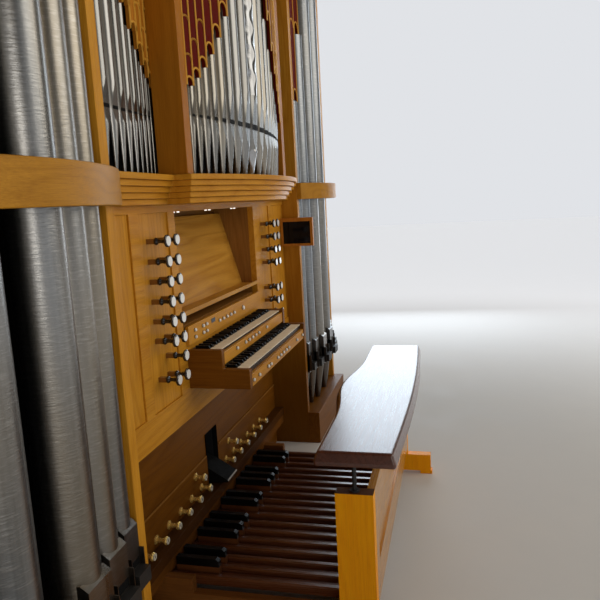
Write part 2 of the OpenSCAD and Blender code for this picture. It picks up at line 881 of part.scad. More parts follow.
module bench_seat() {
    half = seat_len / 2;
    nose = seat_t / 2;
    color("saddlebrown") translate([0, 0, seat_z]) linear_extrude(seat_t) polygon([
        [-half, -seat_out_y], [half, -seat_out_y], [half, -seat_in_y], [half * 0.45, -seat_in_y + seat_bulge],
        [-half * 0.45, -seat_in_y + seat_bulge], [-half, -seat_in_y]
    ]);
}

// Monitor

monitor_x = 930;
monitor_y = [30, 210];
monitor_z = [1165, 1320];
monitor_t = 25;

module monitor() {
    color(oak_dark) block([monitor_x, -monitor_y[1], monitor_z[0]], [monitor_x + monitor_t, -monitor_y[0] - frame_y, monitor_z[1]]);
}

module monitor_arm() {
    color(black) block([monitor_x + monitor_t, -board_proj + 20, 1220], [bay_half_w, -board_proj + 60, 1265]);
}

placed() tower_plinths();
placed() tower_inner_boards();
placed() tower_outer_boards();
placed() case_back();
placed() case_roof();
placed() cornice();
placed() tower_bands();
placed() impost();
placed() centre_piers();
placed() tower_pipes(-1);  // tower_pipes_left
placed() tower_pipes(1);  // tower_pipes_right
placed() flat_pipes(-1);  // flat_pipes_left
placed() flat_pipes(1);  // flat_pipes_right
placed() centre_pipes();
placed() tower_shades();
placed() flat_shades();
placed() centre_shade();
placed() console_frame();
placed() console_panels();
placed() stops_left();
placed() stops_right();
placed() desk_recess();
placed() recess_lights();
placed() music_desk();
placed() piston_panel();
placed() thumb_pistons();
placed() key_desk();
placed() upper_keyslip();
placed() lower_keyslip();
placed() upper_naturals();
placed() upper_sharps();
placed() lower_naturals();
placed() lower_sharps();
placed() knee_board();
placed() toe_board();
placed() toe_rail();
placed() toe_pistons();
placed() swell_frame();
placed() swell_pedal();
placed() pedal_frame();
placed() pedal_naturals();
placed() pedal_sharps();
placed() bench_ends();
placed() bench_sockets();
placed() bench_panel();
placed() bench_rods();
placed() bench_seat();
placed() monitor();
placed() monitor_arm();
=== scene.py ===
"""Looks of a two-manual pipe organ: camera, light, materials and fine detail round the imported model.

Metres. +X is the player's right, -Y is the front, +Z is up.
"""

import math

import bmesh
import bpy
from mathutils import Matrix, Vector


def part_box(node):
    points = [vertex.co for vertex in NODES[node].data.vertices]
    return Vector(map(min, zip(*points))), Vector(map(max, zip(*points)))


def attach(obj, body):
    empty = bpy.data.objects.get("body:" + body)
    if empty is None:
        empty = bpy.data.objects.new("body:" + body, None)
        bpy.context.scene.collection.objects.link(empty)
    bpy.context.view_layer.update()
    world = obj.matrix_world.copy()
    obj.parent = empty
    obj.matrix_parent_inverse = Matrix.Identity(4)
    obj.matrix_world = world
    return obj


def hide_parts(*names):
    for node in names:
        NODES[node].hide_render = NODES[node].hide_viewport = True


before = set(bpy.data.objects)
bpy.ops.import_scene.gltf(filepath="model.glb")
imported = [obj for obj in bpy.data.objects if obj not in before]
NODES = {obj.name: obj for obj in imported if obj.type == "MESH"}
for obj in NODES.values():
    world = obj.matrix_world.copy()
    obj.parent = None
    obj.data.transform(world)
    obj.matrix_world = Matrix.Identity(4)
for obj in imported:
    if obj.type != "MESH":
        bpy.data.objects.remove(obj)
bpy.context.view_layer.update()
SCENE = bpy.context.scene

# Places taken from the imported model, and those of the case's and console's fronts

BOARD_THICK = 0.040
BAY_HALF_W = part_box("tower_inner_boards")[1][0] - BOARD_THICK
IMPOST_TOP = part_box("impost")[1][2]
BODY_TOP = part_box("tower_shades")[1][2]
PANEL_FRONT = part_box("console_panels")[0][1]
STOP_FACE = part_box("stops_left")[0][1]
LOWER_KEY_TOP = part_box("lower_naturals")[1][2]
UPPER_KEY_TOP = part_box("upper_naturals")[1][2]
TOE_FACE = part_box("toe_board")[0][1]
CASE_FRONT = -0.120
PISTON_PANEL_Y = -0.045
UPPER_SLIP_Y = -0.160
LOWER_SLIP_Y = -0.259


# Node trees

class Nodes:
    """A node tree and short ways to add nodes to it."""

    def __init__(self, tree):
        self.tree = tree

    def feed(self, socket, value):
        """Links a socket to another one, or sets it to a constant."""
        if isinstance(value, bpy.types.NodeSocket):
            self.tree.links.new(value, socket)
        else:
            socket.default_value = value

    def node(self, kind, settings=None, **inputs):
        """A node with its inputs set or linked by name, or by number as i0, i1 and so on."""
        made = self.tree.nodes.new("ShaderNode" + kind)
        for name, value in (settings or {}).items():
            setattr(made, name, value)
        for name, value in inputs.items():
            self.feed(made.inputs[int(name[1:]) if name[1:].isdigit() else name], value)
        return made

    def coords(self, kind="Object"):
        return self.node("TexCoord").outputs[kind]

    def math(self, operation, a, b=0.0, c=0.0):
        return self.node("Math", {"operation": operation}, i0=a, i1=b, i2=c).outputs[0]

    def ranged(self, value, low, high, to_low, to_high, shape="LINEAR"):
        """Maps low to to_low and high to to_high."""
        return self.node("MapRange", {"interpolation_type": shape}, i0=value, i1=low, i2=high, i3=to_low,
                         i4=to_high).outputs[0]

    def ramp(self, value, stops, shape="LINEAR"):
        made = self.node("ValToRGB", Fac=value)
        band = made.color_ramp
        band.interpolation = shape
        while len(band.elements) < len(stops):
            band.elements.new(0.5)
        for element, (place, colour) in zip(band.elements, stops):
            element.position = place
            element.color = (*colour, 1.0)
        return made.outputs[0]

    def mixed(self, factor, a, b):
        a, b = (value if isinstance(value, bpy.types.NodeSocket) else (*value, 1.0) for value in (a, b))
        return self.node("Mix", {"data_type": "RGBA"}, i0=factor, i6=a, i7=b).outputs[2]


# Camera and light

CAMERA_PLACE = Vector((-2.4598, -0.9656, 1.4045))
CAMERA_YAW = math.radians(14.01)
CAMERA_PITCH = math.radians(-8.82)
CAMERA_ROLL = math.radians(3.09)
CAMERA_LENS = 37.8


def make_camera():
    """The camera at the photograph's place: yaw from +X to +Y, pitch upwards, roll clockwise."""
    forward = Vector((math.cos(CAMERA_YAW) * math.cos(CAMERA_PITCH),
                      math.sin(CAMERA_YAW) * math.cos(CAMERA_PITCH), math.sin(CAMERA_PITCH)))
    level_right = Vector((math.sin(CAMERA_YAW), -math.cos(CAMERA_YAW), 0.0))
    level_down = forward.cross(level_right)
    right = math.cos(CAMERA_ROLL) * level_right + math.sin(CAMERA_ROLL) * level_down
    down = math.cos(CAMERA_ROLL) * level_down - math.sin(CAMERA_ROLL) * level_right
    data = bpy.data.cameras.new("camera")
    data.lens = CAMERA_LENS
    data.clip_start = 0.02
    camera = bpy.data.objects.new("camera", data)
    camera.matrix_world = Matrix.Translation(CAMERA_PLACE) @ Matrix((right, -down, -forward)).transposed().to_4x4()
    SCENE.collection.objects.link(camera)
    SCENE.camera = camera


def area_light(name, place, target, size, watts, tint):
    data = bpy.data.lights.new(name, "AREA")
    data.shape = "RECTANGLE"
    data.size, data.size_y = size
    data.energy = watts
    data.color = tint
    lamp = bpy.data.objects.new(name, data)
    lamp.location = place
    lamp.rotation_euler = (Vector(target) - Vector(place)).to_track_quat("-Z", "Y").to_euler()
    SCENE.collection.objects.link(lamp)


# What a polished surface mirrors round the organ: (degrees from +X towards +Y, brightness, tint)
WARM = (1.0, 0.82, 0.60)
COOL = (0.80, 0.90, 1.0)
ROOM_ROUND = [(-180, 0.08, WARM), (-154, 0.10, WARM), (-134, 0.42, WARM), (-116, 0.08, COOL), (-86, 0.10, COOL),
              (-66, 0.48, COOL), (-50, 0.08, COOL), (-22, 0.16, WARM), (-6, 0.75, COOL), (14, 0.75, COOL),
              (30, 0.08, WARM), (120, 0.06, WARM)]
ROOM_SEEN = (0.752, 0.768, 0.80)
ROOM_FILL = (0.15, 0.1425, 0.132)


def make_world():
    """A pale room: bright where it is seen, with soft windows where it is mirrored, and dim as a fill light."""
    world = bpy.data.worlds.new("room")
    world.use_nodes = True
    SCENE.world = world
    room = Nodes(world.node_tree)
    split = room.node("SeparateXYZ", Vector=room.coords("Generated")).outputs
    turn = room.math("ARCTAN2", split["Y"], split["X"])
    windows = room.ramp(room.math("MULTIPLY_ADD", turn, 0.5 / math.pi, 0.5),
                        [(degrees / 360.0 + 0.5, [bright * part for part in tint])
                         for degrees, bright, tint in ROOM_ROUND], "EASE")
    rays = room.node("LightPath").outputs
    mirrored = room.mixed(rays["Is Glossy Ray"], ROOM_FILL, windows)
    seen = room.mixed(rays["Is Camera Ray"], mirrored, ROOM_SEEN)
    room.feed(room.tree.nodes["Background"].inputs["Color"], seen)


def make_light():
    area_light("window", (5.0, -0.2, 2.1), (0.0, -0.4, 1.2), (2.6, 3.0), 74, (0.80, 0.90, 1.0))
    area_light("gallery", (0.9, -4.8, 3.2), (0.0, 0.0, 1.4), (5.0, 3.0), 118, (1.0, 0.94, 0.84))
    area_light("near", (-3.9, -1.9, 1.5), (-0.7, -0.7, 0.6), (1.2, 1.2), 17, (1.0, 0.96, 0.90))


# Materials

class Shader(Nodes):
    """A material, its surface and short ways to colour and shade it."""

    def __init__(self, name):
        self.material = bpy.data.materials.new(name)
        self.material.use_nodes = True
        super().__init__(self.material.node_tree)
        self.surface = self.tree.nodes["Principled BSDF"]

    def set(self, **values):
        """Sets or links values of the surface, named with _ for a blank."""
        for name, value in values.items():
            self.feed(self.surface.inputs[name.replace("_", " ")], value)

    def noise(self, scale, detail=3.0, roughness=0.5, distortion=0.0):
        """Noise in the model's own metres, times scale along X, Y and Z."""
        place = self.node("Mapping", Vector=self.coords(), Scale=scale).outputs[0]
        return self.node("TexNoise", Vector=place, Scale=1.0, Detail=detail, Roughness=roughness,
                         Distortion=distortion).outputs["Fac"]

    def along_axis(self, axis):
        return self.node("SeparateXYZ", Vector=self.coords()).outputs[axis]

    def between(self, axis, low, high):
        """1 where the coordinate lies between low and high, otherwise 0."""
        value = self.along_axis(axis)
        return self.math("MULTIPLY", self.math("GREATER_THAN", value, low), self.math("LESS_THAN", value, high))

    def bump(self, height, strength, distance):
        self.set(Normal=self.node("Bump", Height=height, Strength=strength, Distance=distance).outputs[0])

    def painted(self, factor, colour):
        """Covers the surface with colour where factor is 1."""
        under = self.surface.inputs["Base Color"].links[0].from_socket
        self.set(Base_Color=self.mixed(factor, under, colour))


def along(axis, fine, lengthwise):
    """A scale that is fine across the grain and low along it."""
    return tuple(lengthwise if i == "XYZ".index(axis) else fine for i in range(3))


def wood(name, axis, dark, light, rough=0.44, coat=0.03, rings=0.13, pores=0.35, shine=0.10):
    """Varnished timber with its grain along one axis: growth rings cut at a slant, fibres and pores."""
    s = Shader(name)
    s.set(Coat_Weight=coat, Coat_Roughness=0.25, Specular_IOR_Level=shine)
    field = s.noise(along(axis, 5.5, 0.55), 2.0, 0.45, 0.35)
    ring = s.math("ABSOLUTE", s.math("SINE", s.math("MULTIPLY", field, 46.0)))
    fibres = s.noise(along(axis, 420.0, 9.0), 3.0, 0.6)
    tone = s.noise((1.7, 1.7, 1.7), 2.0)
    pore = s.ranged(s.noise(along(axis, 1100.0, 26.0), 2.0, 0.5), 0.58, 0.72, 0.0, 1.0)
    value = s.math("ADD", s.math("MULTIPLY", ring, rings), s.math("MULTIPLY", fibres, 0.75 - rings))
    value = s.math("ADD", value, s.math("MULTIPLY", tone, 0.25))
    grain = s.ramp(value, [(0.30, dark), (0.68, light)])
    pore_colour = tuple(0.45 * c for c in dark)
    s.set(Base_Color=s.mixed(s.math("MULTIPLY", pore, pores), grain, pore_colour))
    s.set(Roughness=s.ranged(fibres, 0.3, 0.7, rough - 0.06, rough + 0.08))
    height = s.math("SUBTRACT", s.math("MULTIPLY", fibres, 0.3), pore)
    s.bump(height, 0.18, 0.0006)
    return s


def pipe_metal(name, tone, warm, ripple, rough):
    """Tin and lead sheet: satin, here and there warm, and planed in fine ripples across; its long lighter and darker
    streaks are partly the sheet's own tone and partly painted reflection, and the lighter flecks on its ripples are
    painted glints.
    """
    s = Shader(name)
    s.set(Metallic=1.0)
    streak = s.noise((26.0, 26.0, 0.5), 3.0, 0.6)
    tarnish = s.noise((5.0, 5.0, 0.6), 2.0)
    low = tuple(0.55 * c for c in tone)
    # Long lighter and darker streaks: partly the sheet's own tone, partly painted reflection of a bright and dark
    # room.
    grey = s.ramp(streak, [(0.34, low), (0.64, tone)])
    s.set(Base_Color=s.mixed(s.ranged(tarnish, 0.44, 0.60, 0.0, 0.7), grey, warm))
    s.set(Roughness=s.ranged(streak, 0.3, 0.7, rough - 0.05, rough + 0.06))
    if ripple > 0.0:
        cells = s.noise((30.0, 30.0, 230.0), 3.0, 0.6)
        # Lighter flecks on the ripples: painted glints.
        s.painted(s.ranged(cells, 0.50, 0.72, 0.0, 0.22), (0.60, 0.59, 0.56))
        s.bump(cells, ripple, 0.0012)
    return s


def plain(name, colour, rough, metallic=0.0, coat=0.0, variation=0.12, grain=(80.0, 80.0, 80.0), shine=0.5):
    """A smooth finish with slight wear in its colour and gloss."""
    s = Shader(name)
    s.set(Metallic=metallic, Coat_Weight=coat, Coat_Roughness=0.08, Specular_IOR_Level=shine)
    worn = s.noise(grain, 3.0, 0.6)
    dark = tuple(c * (1.0 - variation) for c in colour)
    s.set(Base_Color=s.ramp(worn, [(0.35, dark), (0.65, colour)]))
    s.set(Roughness=s.ranged(worn, 0.3, 0.7, rough * 0.85, rough * 1.2))
    return s


BLACK = (0.012, 0.011, 0.011)
OAK = ((0.40, 0.150, 0.006), (0.60, 0.280, 0.026))
BROWN = ((0.115, 0.036, 0.002), (0.21, 0.076, 0.006))
PEDAL = ((0.085, 0.023, 0.007), (0.16, 0.050, 0.016))
IVORY = ((0.86, 0.74, 0.52), (0.97, 0.88, 0.70))
# Each timber's grain axis, dark tone and light tone
WOODS = {
    "oak_x": ("X", *OAK), "oak_z": ("Z", *OAK), "back": ("Z", *OAK), "inner_boards": ("Z", *OAK),
    # The plinths take the darker brown as painted shade, standing for the shade low in the towers.
    "brown_x": ("X", *BROWN), "brown_y": ("Y", *BROWN), "brown_z": ("Z", *BROWN), "plinth": ("X", *BROWN),
    "lining": ("Z", (0.20, 0.080, 0.014), (0.33, 0.15, 0.032)),
    "desk": ("X", (0.38, 0.16, 0.016), (0.56, 0.28, 0.040), {"rings": 0.25}),
    "pier_oak": ("Z", (0.27, 0.085, 0.003), (0.40, 0.145, 0.009)),
    "band_oak": ("X", (0.30, 0.120, 0.005), (0.46, 0.210, 0.016)),
    "border": ("Z", (0.50, 0.225, 0.020), (0.64, 0.32, 0.045)),
    "orange_oak": ("Z", (0.30, 0.095, 0.006), (0.46, 0.17, 0.014)),
    "lower_keys": ("Y", *IVORY, {"rough": 0.3, "pores": 0.1}),
    "upper_keys": ("Y", *IVORY, {"rough": 0.3, "pores": 0.1}),
    # The toe rail's very dark oak is painted shade, standing for the shade low under the console.
    "shaded_rail": ("X", (0.050, 0.016, 0.003), (0.095, 0.034, 0.007)),
    "kick_board": ("X", (0.10, 0.035, 0.005), (0.20, 0.072, 0.012)),
    "frame_wood": ("Y", (0.15, 0.052, 0.010), (0.26, 0.10, 0.022)),
    "monitor_wood": ("Z", (0.36, 0.12, 0.012), (0.52, 0.20, 0.026)),
    "pedal_wood": ("Y", *PEDAL, {"rough": 0.28, "coat": 0.6, "shine": 0.5}),
    "pedal_sharps": ("Y", *PEDAL, {"rough": 0.36, "coat": 0.0, "shine": 0.25}),
    # The bench ends' oak is brighter and more orange than the case's: painted light falling on the bench ends.
    "bench_oak_lit": ("Z", (0.86, 0.29, 0.001), (0.98, 0.41, 0.003)),
    "bench_panel": ("X", *OAK, {"rough": 0.26, "coat": 0.8}),
    "seat": ("X", (0.045, 0.010, 0.004), (0.11, 0.028, 0.011), {"rough": 0.30, "coat": 0.8, "shine": 0.45}),
}
# Each smooth finish's colour and roughness
PLAINS = {
    "red": ((0.105, 0.005, 0.002), 0.6, {"shine": 0.05}),
    "black_gloss": (BLACK, 0.18, {"coat": 0.5}),
    "stops": (BLACK, 0.18, {"coat": 0.5}),
    "ebony": ((0.003, 0.003, 0.003), 0.5, {"grain": (600.0, 30.0, 600.0), "shine": 0.12}),
    "white": ((0.85, 0.84, 0.80), 0.2, {"coat": 0.4, "variation": 0.04}),
    "pistons": ((0.80, 0.79, 0.75), 0.2, {"coat": 0.4, "variation": 0.04}),
    "lamps": ((0.95, 0.93, 0.88), 0.3, {"variation": 0.02}),
    "toe_pistons": ((0.95, 0.66, 0.20), 0.26, {"metallic": 0.6}),
    "cream": ((0.74, 0.70, 0.58), 0.3, {"variation": 0.05}),
    "black_steel": ((0.015, 0.015, 0.016), 0.4),
    "rubber": ((0.005, 0.005, 0.005), 0.7, {"shine": 0.1}),
    "bright_edge": ((0.85, 0.83, 0.78), 0.3),
    "beard": ((0.018, 0.017, 0.016), 0.45),
    "screen": ((0.003, 0.003, 0.005), 0.12, {"shine": 0.2}),
}
# Each sheet metal's tone, its warm tone, ripple and roughness
METALS = {
    "large_metal": ((0.27, 0.285, 0.30), (0.28, 0.235, 0.17), 0.55, 0.31),
    "small_metal": ((0.29, 0.285, 0.27), (0.27, 0.235, 0.18), 0.0, 0.26),
    "embossed_metal": ((0.40, 0.40, 0.40), (0.37, 0.355, 0.33), 0.0, 0.20),
}
FAR = 10.0
BACK_SKIN = 0.010
FOOT_SHADE = (0.50, 0.62, 0.75, 0.0)
BOARD_SHADE = (0.35, 1.15, 0.85, 0.15)
STOP_SHANK = 0.0265
# Each manual's keys: top and where their heads end
KEY_HEADS = {"lower_keys": (LOWER_KEY_TOP, -0.203), "upper_keys": (UPPER_KEY_TOP, -0.104)}
KEY_PLATE = 0.003
COLLAR = 0.0021
SHARP_LOW = 0.1083
SHARP_CAP = 0.136


def make_materials():
    """Every finish by its name, with what is painted, shaded or capped on some of them."""
    made = {}
    for kind, table in ((wood, WOODS), (plain, PLAINS), (pipe_metal, METALS)):
        for name, row in table.items():
            settings = row[-1] if isinstance(row[-1], dict) else {}
            made[name] = kind(name, *(row[:-1] if settings else row), **settings)

    def paint(name, axis, low, high, colour):
        made[name].painted(made[name].between(axis, low, high), colour)

    # Painted shade: the inside face of the case back is painted near black, standing for the shade inside the case.
    paint("back", "Y", -FAR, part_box("case_back")[1][1] - BACK_SKIN, BLACK)
    large = made["large_metal"]
    large.painted(large.ranged(large.along_axis("Z"), *FOOT_SHADE), (0.11, 0.085, 0.065))
    inner = made["inner_boards"]
    height = inner.ranged(inner.along_axis("Z"), *BOARD_SHADE)
    inner.painted(inner.math("MULTIPLY", inner.between("X", 0.0, FAR), height), BROWN[0])
    paint("stops", "Y", PANEL_FRONT - STOP_SHANK, FAR, (0.20, 0.075, 0.012))
    for name, (top, head_end) in KEY_HEADS.items():
        # Painted shade: the naturals are darker behind their heads, where they lie between the sharps.
        paint(name, "Y", head_end + 0.001, FAR, (0.16, 0.11, 0.06))
        # Painted shade: the naturals are near black below their top plates, standing for the shade in the gap over
        # the keyslips.
        paint(name, "Z", -FAR, top - KEY_PLATE, (0.035, 0.022, 0.014))
    for face in (PISTON_PANEL_Y, UPPER_SLIP_Y, LOWER_SLIP_Y):
        paint("pistons", "Y", face - COLLAR, face + 0.001, BLACK)
    made["lamps"].set(Emission_Color=(1.0, 0.93, 0.82, 1.0), Emission_Strength=1.5)
    paint("pedal_sharps", "Z", SHARP_LOW, SHARP_CAP, (0.15, 0.050, 0.014))
    paint("pedal_sharps", "Z", SHARP_CAP, FAR, (0.003, 0.003, 0.003))
    paint("bench_oak_lit", "Z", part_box("bench_ends")[1][2] - 0.0006, FAR, (0.10, 0.035, 0.010))
    return {name: shader.material for name, shader in made.items()}


FINISH = {
    "oak_z": "tower_outer_boards console_panels", "inner_boards": "tower_inner_boards",
    # The plinths' darker brown is painted shade.
    "plinth": "tower_plinths", "oak_x": "cornice console_frame", "brown_z": "case_roof",
    # The toe rail's very dark oak is painted shade.
    "brown_x": "knee_board toe_board", "shaded_rail": "toe_rail", "lining": "desk_recess", "back": "case_back",
    "stops": "stops_left stops_right", "toe_pistons": "toe_pistons",
    "black_steel": "swell_frame bench_sockets bench_rods monitor_arm", "frame_wood": "pedal_frame",
    # The bench ends' bright oak is painted light.
    "bench_oak_lit": "bench_ends",
}


def finish_nodes():
    """Gives each node of the model its material."""
    for finish, names in FINISH.items():
        for name in names.split():
            NODES[name].data.materials.clear()
            NODES[name].data.materials.append(MATERIALS[finish])


# The model's own nodes that get rounded edges, by millimetres
EDGES = {
    2.5: "bench_ends", 2.0: "tower_inner_boards tower_outer_boards pedal_frame cornice tower_plinths",
    1.5: "toe_rail", 1.2: "console_frame console_panels", 1.0: "knee_board",
}


def round_edges(shape, width):
    """Rounds the sharp edges of a piece, by millimetres."""
    bevel = shape.modifiers.new("bevel", "BEVEL")
    bevel.width = width / 1000.0
    bevel.segments = 2 if width < 5.0 else 5
    bevel.limit_method = "ANGLE"
    bevel.angle_limit = math.radians(25)
    bevel.harden_normals = True


def soften_edges():
    """Rounds the sharp edges of the model's own wooden nodes."""
    for width, names in EDGES.items():
        for node in (NODES[name] for name in names.split()):
            node.modifiers.new("weld", "WELD").merge_threshold = 0.00002
            flat = node.modifiers.new("flat", "DECIMATE")
            flat.decimate_type = "DISSOLVE"
            flat.angle_limit = math.radians(0.5)
            round_edges(node, width)


# Detail pieces, built as meshes

def circle(x, y, radius, steps):
    """Points round a circle, from its +x side towards +y."""
    return [(x + radius * math.cos(math.tau * i / steps), y + radius * math.sin(math.tau * i / steps))
            for i in range(steps)]


class Mesh:
    """Points and faces collected for one piece."""

    def __init__(self):
        self.points = []
        self.faces = []

    def add(self, points, faces):
        first = len(self.points)
        self.points += [tuple(p) for p in points]
        self.faces += [tuple(first + i for i in face) for face in faces]

    def box(self, xs, ys, zs):
        """A box by its ranges along X, Y and Z."""
        corners = [(x, y, z) for x in xs for y in ys for z in zs]
        self.add(corners, [(0, 1, 3, 2), (4, 6, 7, 5), (0, 4, 5, 1), (2, 3, 7, 6), (0, 2, 6, 4), (1, 5, 7, 3)])

    def strip(self, path, wide, high):
        """A moulding of that width and height along a path of points, on a face that looks to -Y."""
        normal = Vector((0.0, -1.0, 0.0))
        rings = []
        for i, point in enumerate(path):
            before, after = (Vector(path[j]) for j in (max(i - 1, 0), min(i + 1, len(path) - 1)))
            side = (after - before).normalized().cross(normal) * (wide / 2)
            rings.append([Vector(point) + side * across + normal * out
                          for across, out in ((-1.0, 0.0), (-0.6, high), (0.6, high), (1.0, 0.0))])
        self.rings(rings)

    def rings(self, rings, closed=True):
        """A solid through rings of as many points each, or a sheet where it isn't closed at its ends."""
        count = len(rings[0])
        last = count * (len(rings) - 1)
        faces = [tuple(range(count - 1, -1, -1)), tuple(range(last, last + count))] if closed else []
        for start in range(0, last, count):
            faces += [(start + i, start + (i + 1) % count, start + count + (i + 1) % count, start + count + i)
                      for i in range(count)]
        self.add([point for ring in rings for point in ring], faces)

    def prism(self, axis, profile, low, high):
        """A straight solid along an axis; its profile holds the two other coordinates in their order."""
        at = "XYZ".index(axis)
        self.rings([[(*point[:at], end, *point[at:]) for point in profile] for end in (low, high)])

    def frame(self, axis, ends, outer, inner):
        """Four boards round an opening that goes through along an axis; outer and inner hold its two other ranges."""
        (a, b), (c, d) = outer
        (e, f), (g, h) = inner
        at = "XYZ".index(axis)
        for first, second in (((a, e), (c, d)), ((f, b), (c, d)), ((e, f), (c, g)), ((e, f), (h, d))):
            ranges = [first, second]
            ranges.insert(at, ends)
            self.box(*ranges)

    def piece(self, name, finish, slot, body="root", smooth=False, edges=0.0, instead_of=""):
        """Makes the piece; edges are millimetres, and instead_of names the nodes whose place it takes."""
        data = bpy.data.meshes.new(name)
        data.from_pydata(self.points, [], self.faces)
        shape = bmesh.new()
        shape.from_mesh(data)
        bmesh.ops.recalc_face_normals(shape, faces=shape.faces)
        shape.to_mesh(data)
        shape.free()
        data.materials.append(MATERIALS[finish])
        if smooth:
            data.shade_smooth()
            data.set_sharp_from_angle(angle=math.radians(28))
        made = bpy.data.objects.new(name, data)
        SCENE.collection.objects.link(made)
        if edges:
            round_edges(made, edges)
        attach(made, body)
        for node in instead_of.split():
            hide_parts(node)


def board(name, finish, slot, *ranges, **how):
    """A piece that is one box, by its ranges along X, Y and Z."""
    mesh = Mesh()
    mesh.box(*ranges)
    mesh.piece(name, finish, slot, **how)


# Case front, pipes and their shades

TOWER_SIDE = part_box("tower_plinths")[1][0]
TOWER_CENTRE = (TOWER_SIDE + BAY_HALF_W) / 2
TOWER_ROOM = (TOWER_SIDE - BAY_HALF_W) / 2 - BOARD_THICK
TOWER_EDGES = (0.3775, 0.2786, 0.168, 0.0)
TOWER_LOWS = (1.962, 2.3315, 2.793)
# Half a tower's pipes: distance from its middle, y, diameter and top
TOWER_PIPES = ((0.32579, -0.082, 0.08541, 1.960), (0.22327, -0.096, 0.10164, 2.3295),
               (0.10298, -0.110, 0.12095, 2.7907))
TOWER_MOUTH = 0.470
TOWER_SHADE_Y = -0.118
PLINTH_TOP = 0.185
PIER_INNER = 0.553
PIER_OUTER = 0.600
CORNICE_HIGH = 0.120
PIPE_GAP = 0.002
CENTRE_COUNT = 9
CENTRE_RATIO = 1.12
CENTRE_FIRST = 0.034089
CENTRE_RADIUS = 2.2036
CENTRE_FRONT = 0.220
CENTRE_MOUTH = 0.185
CENTRE_SHORTEST = 0.103
CENTRE_GROWTH = 1.29
FLAT_COUNT = 11
FLAT_FIRST = 0.06135
FLAT_RATIO = 0.9
FLAT_FRONT = 0.0527
FLAT_MOUTH = 0.180
FLAT_SHORTEST = 0.102
FLAT_GROWTH = 1.25
FLAT_SHADE_Y = -0.065
SHADE_THICK = 0.012
SHADE_GAP = 0.0003
SHADE_COVER = 0.012
ARCH_SHARE = 0.37
ARCH_LEG = 0.25
BORDER_W = 0.0072
BORDER_T = 0.0030
ARCH_STEPS = 12
BORDER_STEPS = 8


def centre_pitch(k):
    """The room of the kth pipe from the middle."""
    return CENTRE_FIRST * CENTRE_RATIO ** (CENTRE_COUNT - abs(k))


def centre_length(k):
    """The length of the kth pipe from the middle over its mouth."""
    return CENTRE_SHORTEST * CENTRE_GROWTH ** (CENTRE_COUNT - abs(k))


def centre_edges():
    """The middle shade's leaf edges from left to right."""
    pitches = [centre_pitch(k) for k in range(-CENTRE_COUNT, CENTRE_COUNT + 1)]
    edges = [-sum(pitches) / 2]
    for pitch in pitches:
        edges.append(edges[-1] + pitch)
    edges[0], edges[-1] = -PIER_INNER, PIER_INNER
    return edges


def centre_lows():
    return [IMPOST_TOP + CENTRE_MOUTH + centre_length(k) - SHADE_COVER
            for k in range(-CENTRE_COUNT, CENTRE_COUNT + 1)]


def bow_front(x):
    """The front of the middle shade at x."""
    sag = centre_pitch(0) ** 2 / (8 * CENTRE_RADIUS)
    return CENTRE_RADIUS - CENTRE_FRONT - math.sqrt(CENTRE_RADIUS ** 2 - x * x) - SHADE_GAP - sag - SHADE_THICK


def flat_edges():
    edges = [BAY_HALF_W]
    for i in range(FLAT_COUNT):
        edges.append(edges[-1] - FLAT_FIRST * FLAT_RATIO ** i)
    return edges


def flat_lows():
    return [IMPOST_TOP + FLAT_MOUTH + FLAT_SHORTEST * FLAT_GROWTH ** (FLAT_COUNT - 1 - i) - SHADE_COVER
            for i in range(FLAT_COUNT)]


def arch(left, right, low, steps, inset=0.0):
    """A leaf's arch as points (x, z), from its left leg over the round to its right leg."""
    width = right - left
    middle = (left + right) / 2
    reach = ARCH_SHARE * width + inset
    rise = low + ARCH_LEG * width
    angles = [math.pi - math.pi * i / steps for i in range(steps + 1)]
    top = [(middle + reach * math.cos(angle), rise + reach * math.sin(angle)) for angle in angles]
    return [(middle - reach, low), *top, (middle + reach, low)]


def shade_borders(mesh, edges, lows, top, front):
    """Mouldings on one row of shade leaves: along their edges, round their arches, and arches further up that
    repeat the ends of every second neighbour."""
    count = len(lows)

    def moulding(points):
        mesh.strip([(x, front(x), z) for x, z in points], BORDER_W, BORDER_T)

    for i, edge in enumerate(edges):
        low = min(lows[max(i - 1, 0)], lows[min(i, count - 1)])
        inset = BORDER_W / 2 if i == 0 else -BORDER_W / 2 if i == count else 0.0
        moulding([(edge + inset, low), (edge + inset, top)])
    for i in range(count):
        left, right = edges[i], edges[i + 1]
        moulding(arch(left, right, lows[i], BORDER_STEPS, BORDER_W / 2))
        for j in range(count):
            if (j - i) % 2 == 0 and lows[i] + 0.02 < lows[j] < top and (j - i) * (count / 2 - i) >= 0:
                moulding(arch(left, right, lows[j], BORDER_STEPS, BORDER_W / 2)[1:-1])


def shade_leaves(mesh, edges, lows, top, front):
    """The boards of one row of shade leaves, each with a round arch over its pipe."""
    for left, right, low in zip(edges, edges[1:], lows):
        outline = [(left, top), (left, low), *arch(left, right, low, ARCH_STEPS), (right, low), (right, top)]
        slope = (front(right) - front(left)) / (right - left)
        mesh.rings([[(x, front(left) + slope * (x - left) + back, z) for x, z in outline]
                    for back in (0.0, SHADE_THICK)])


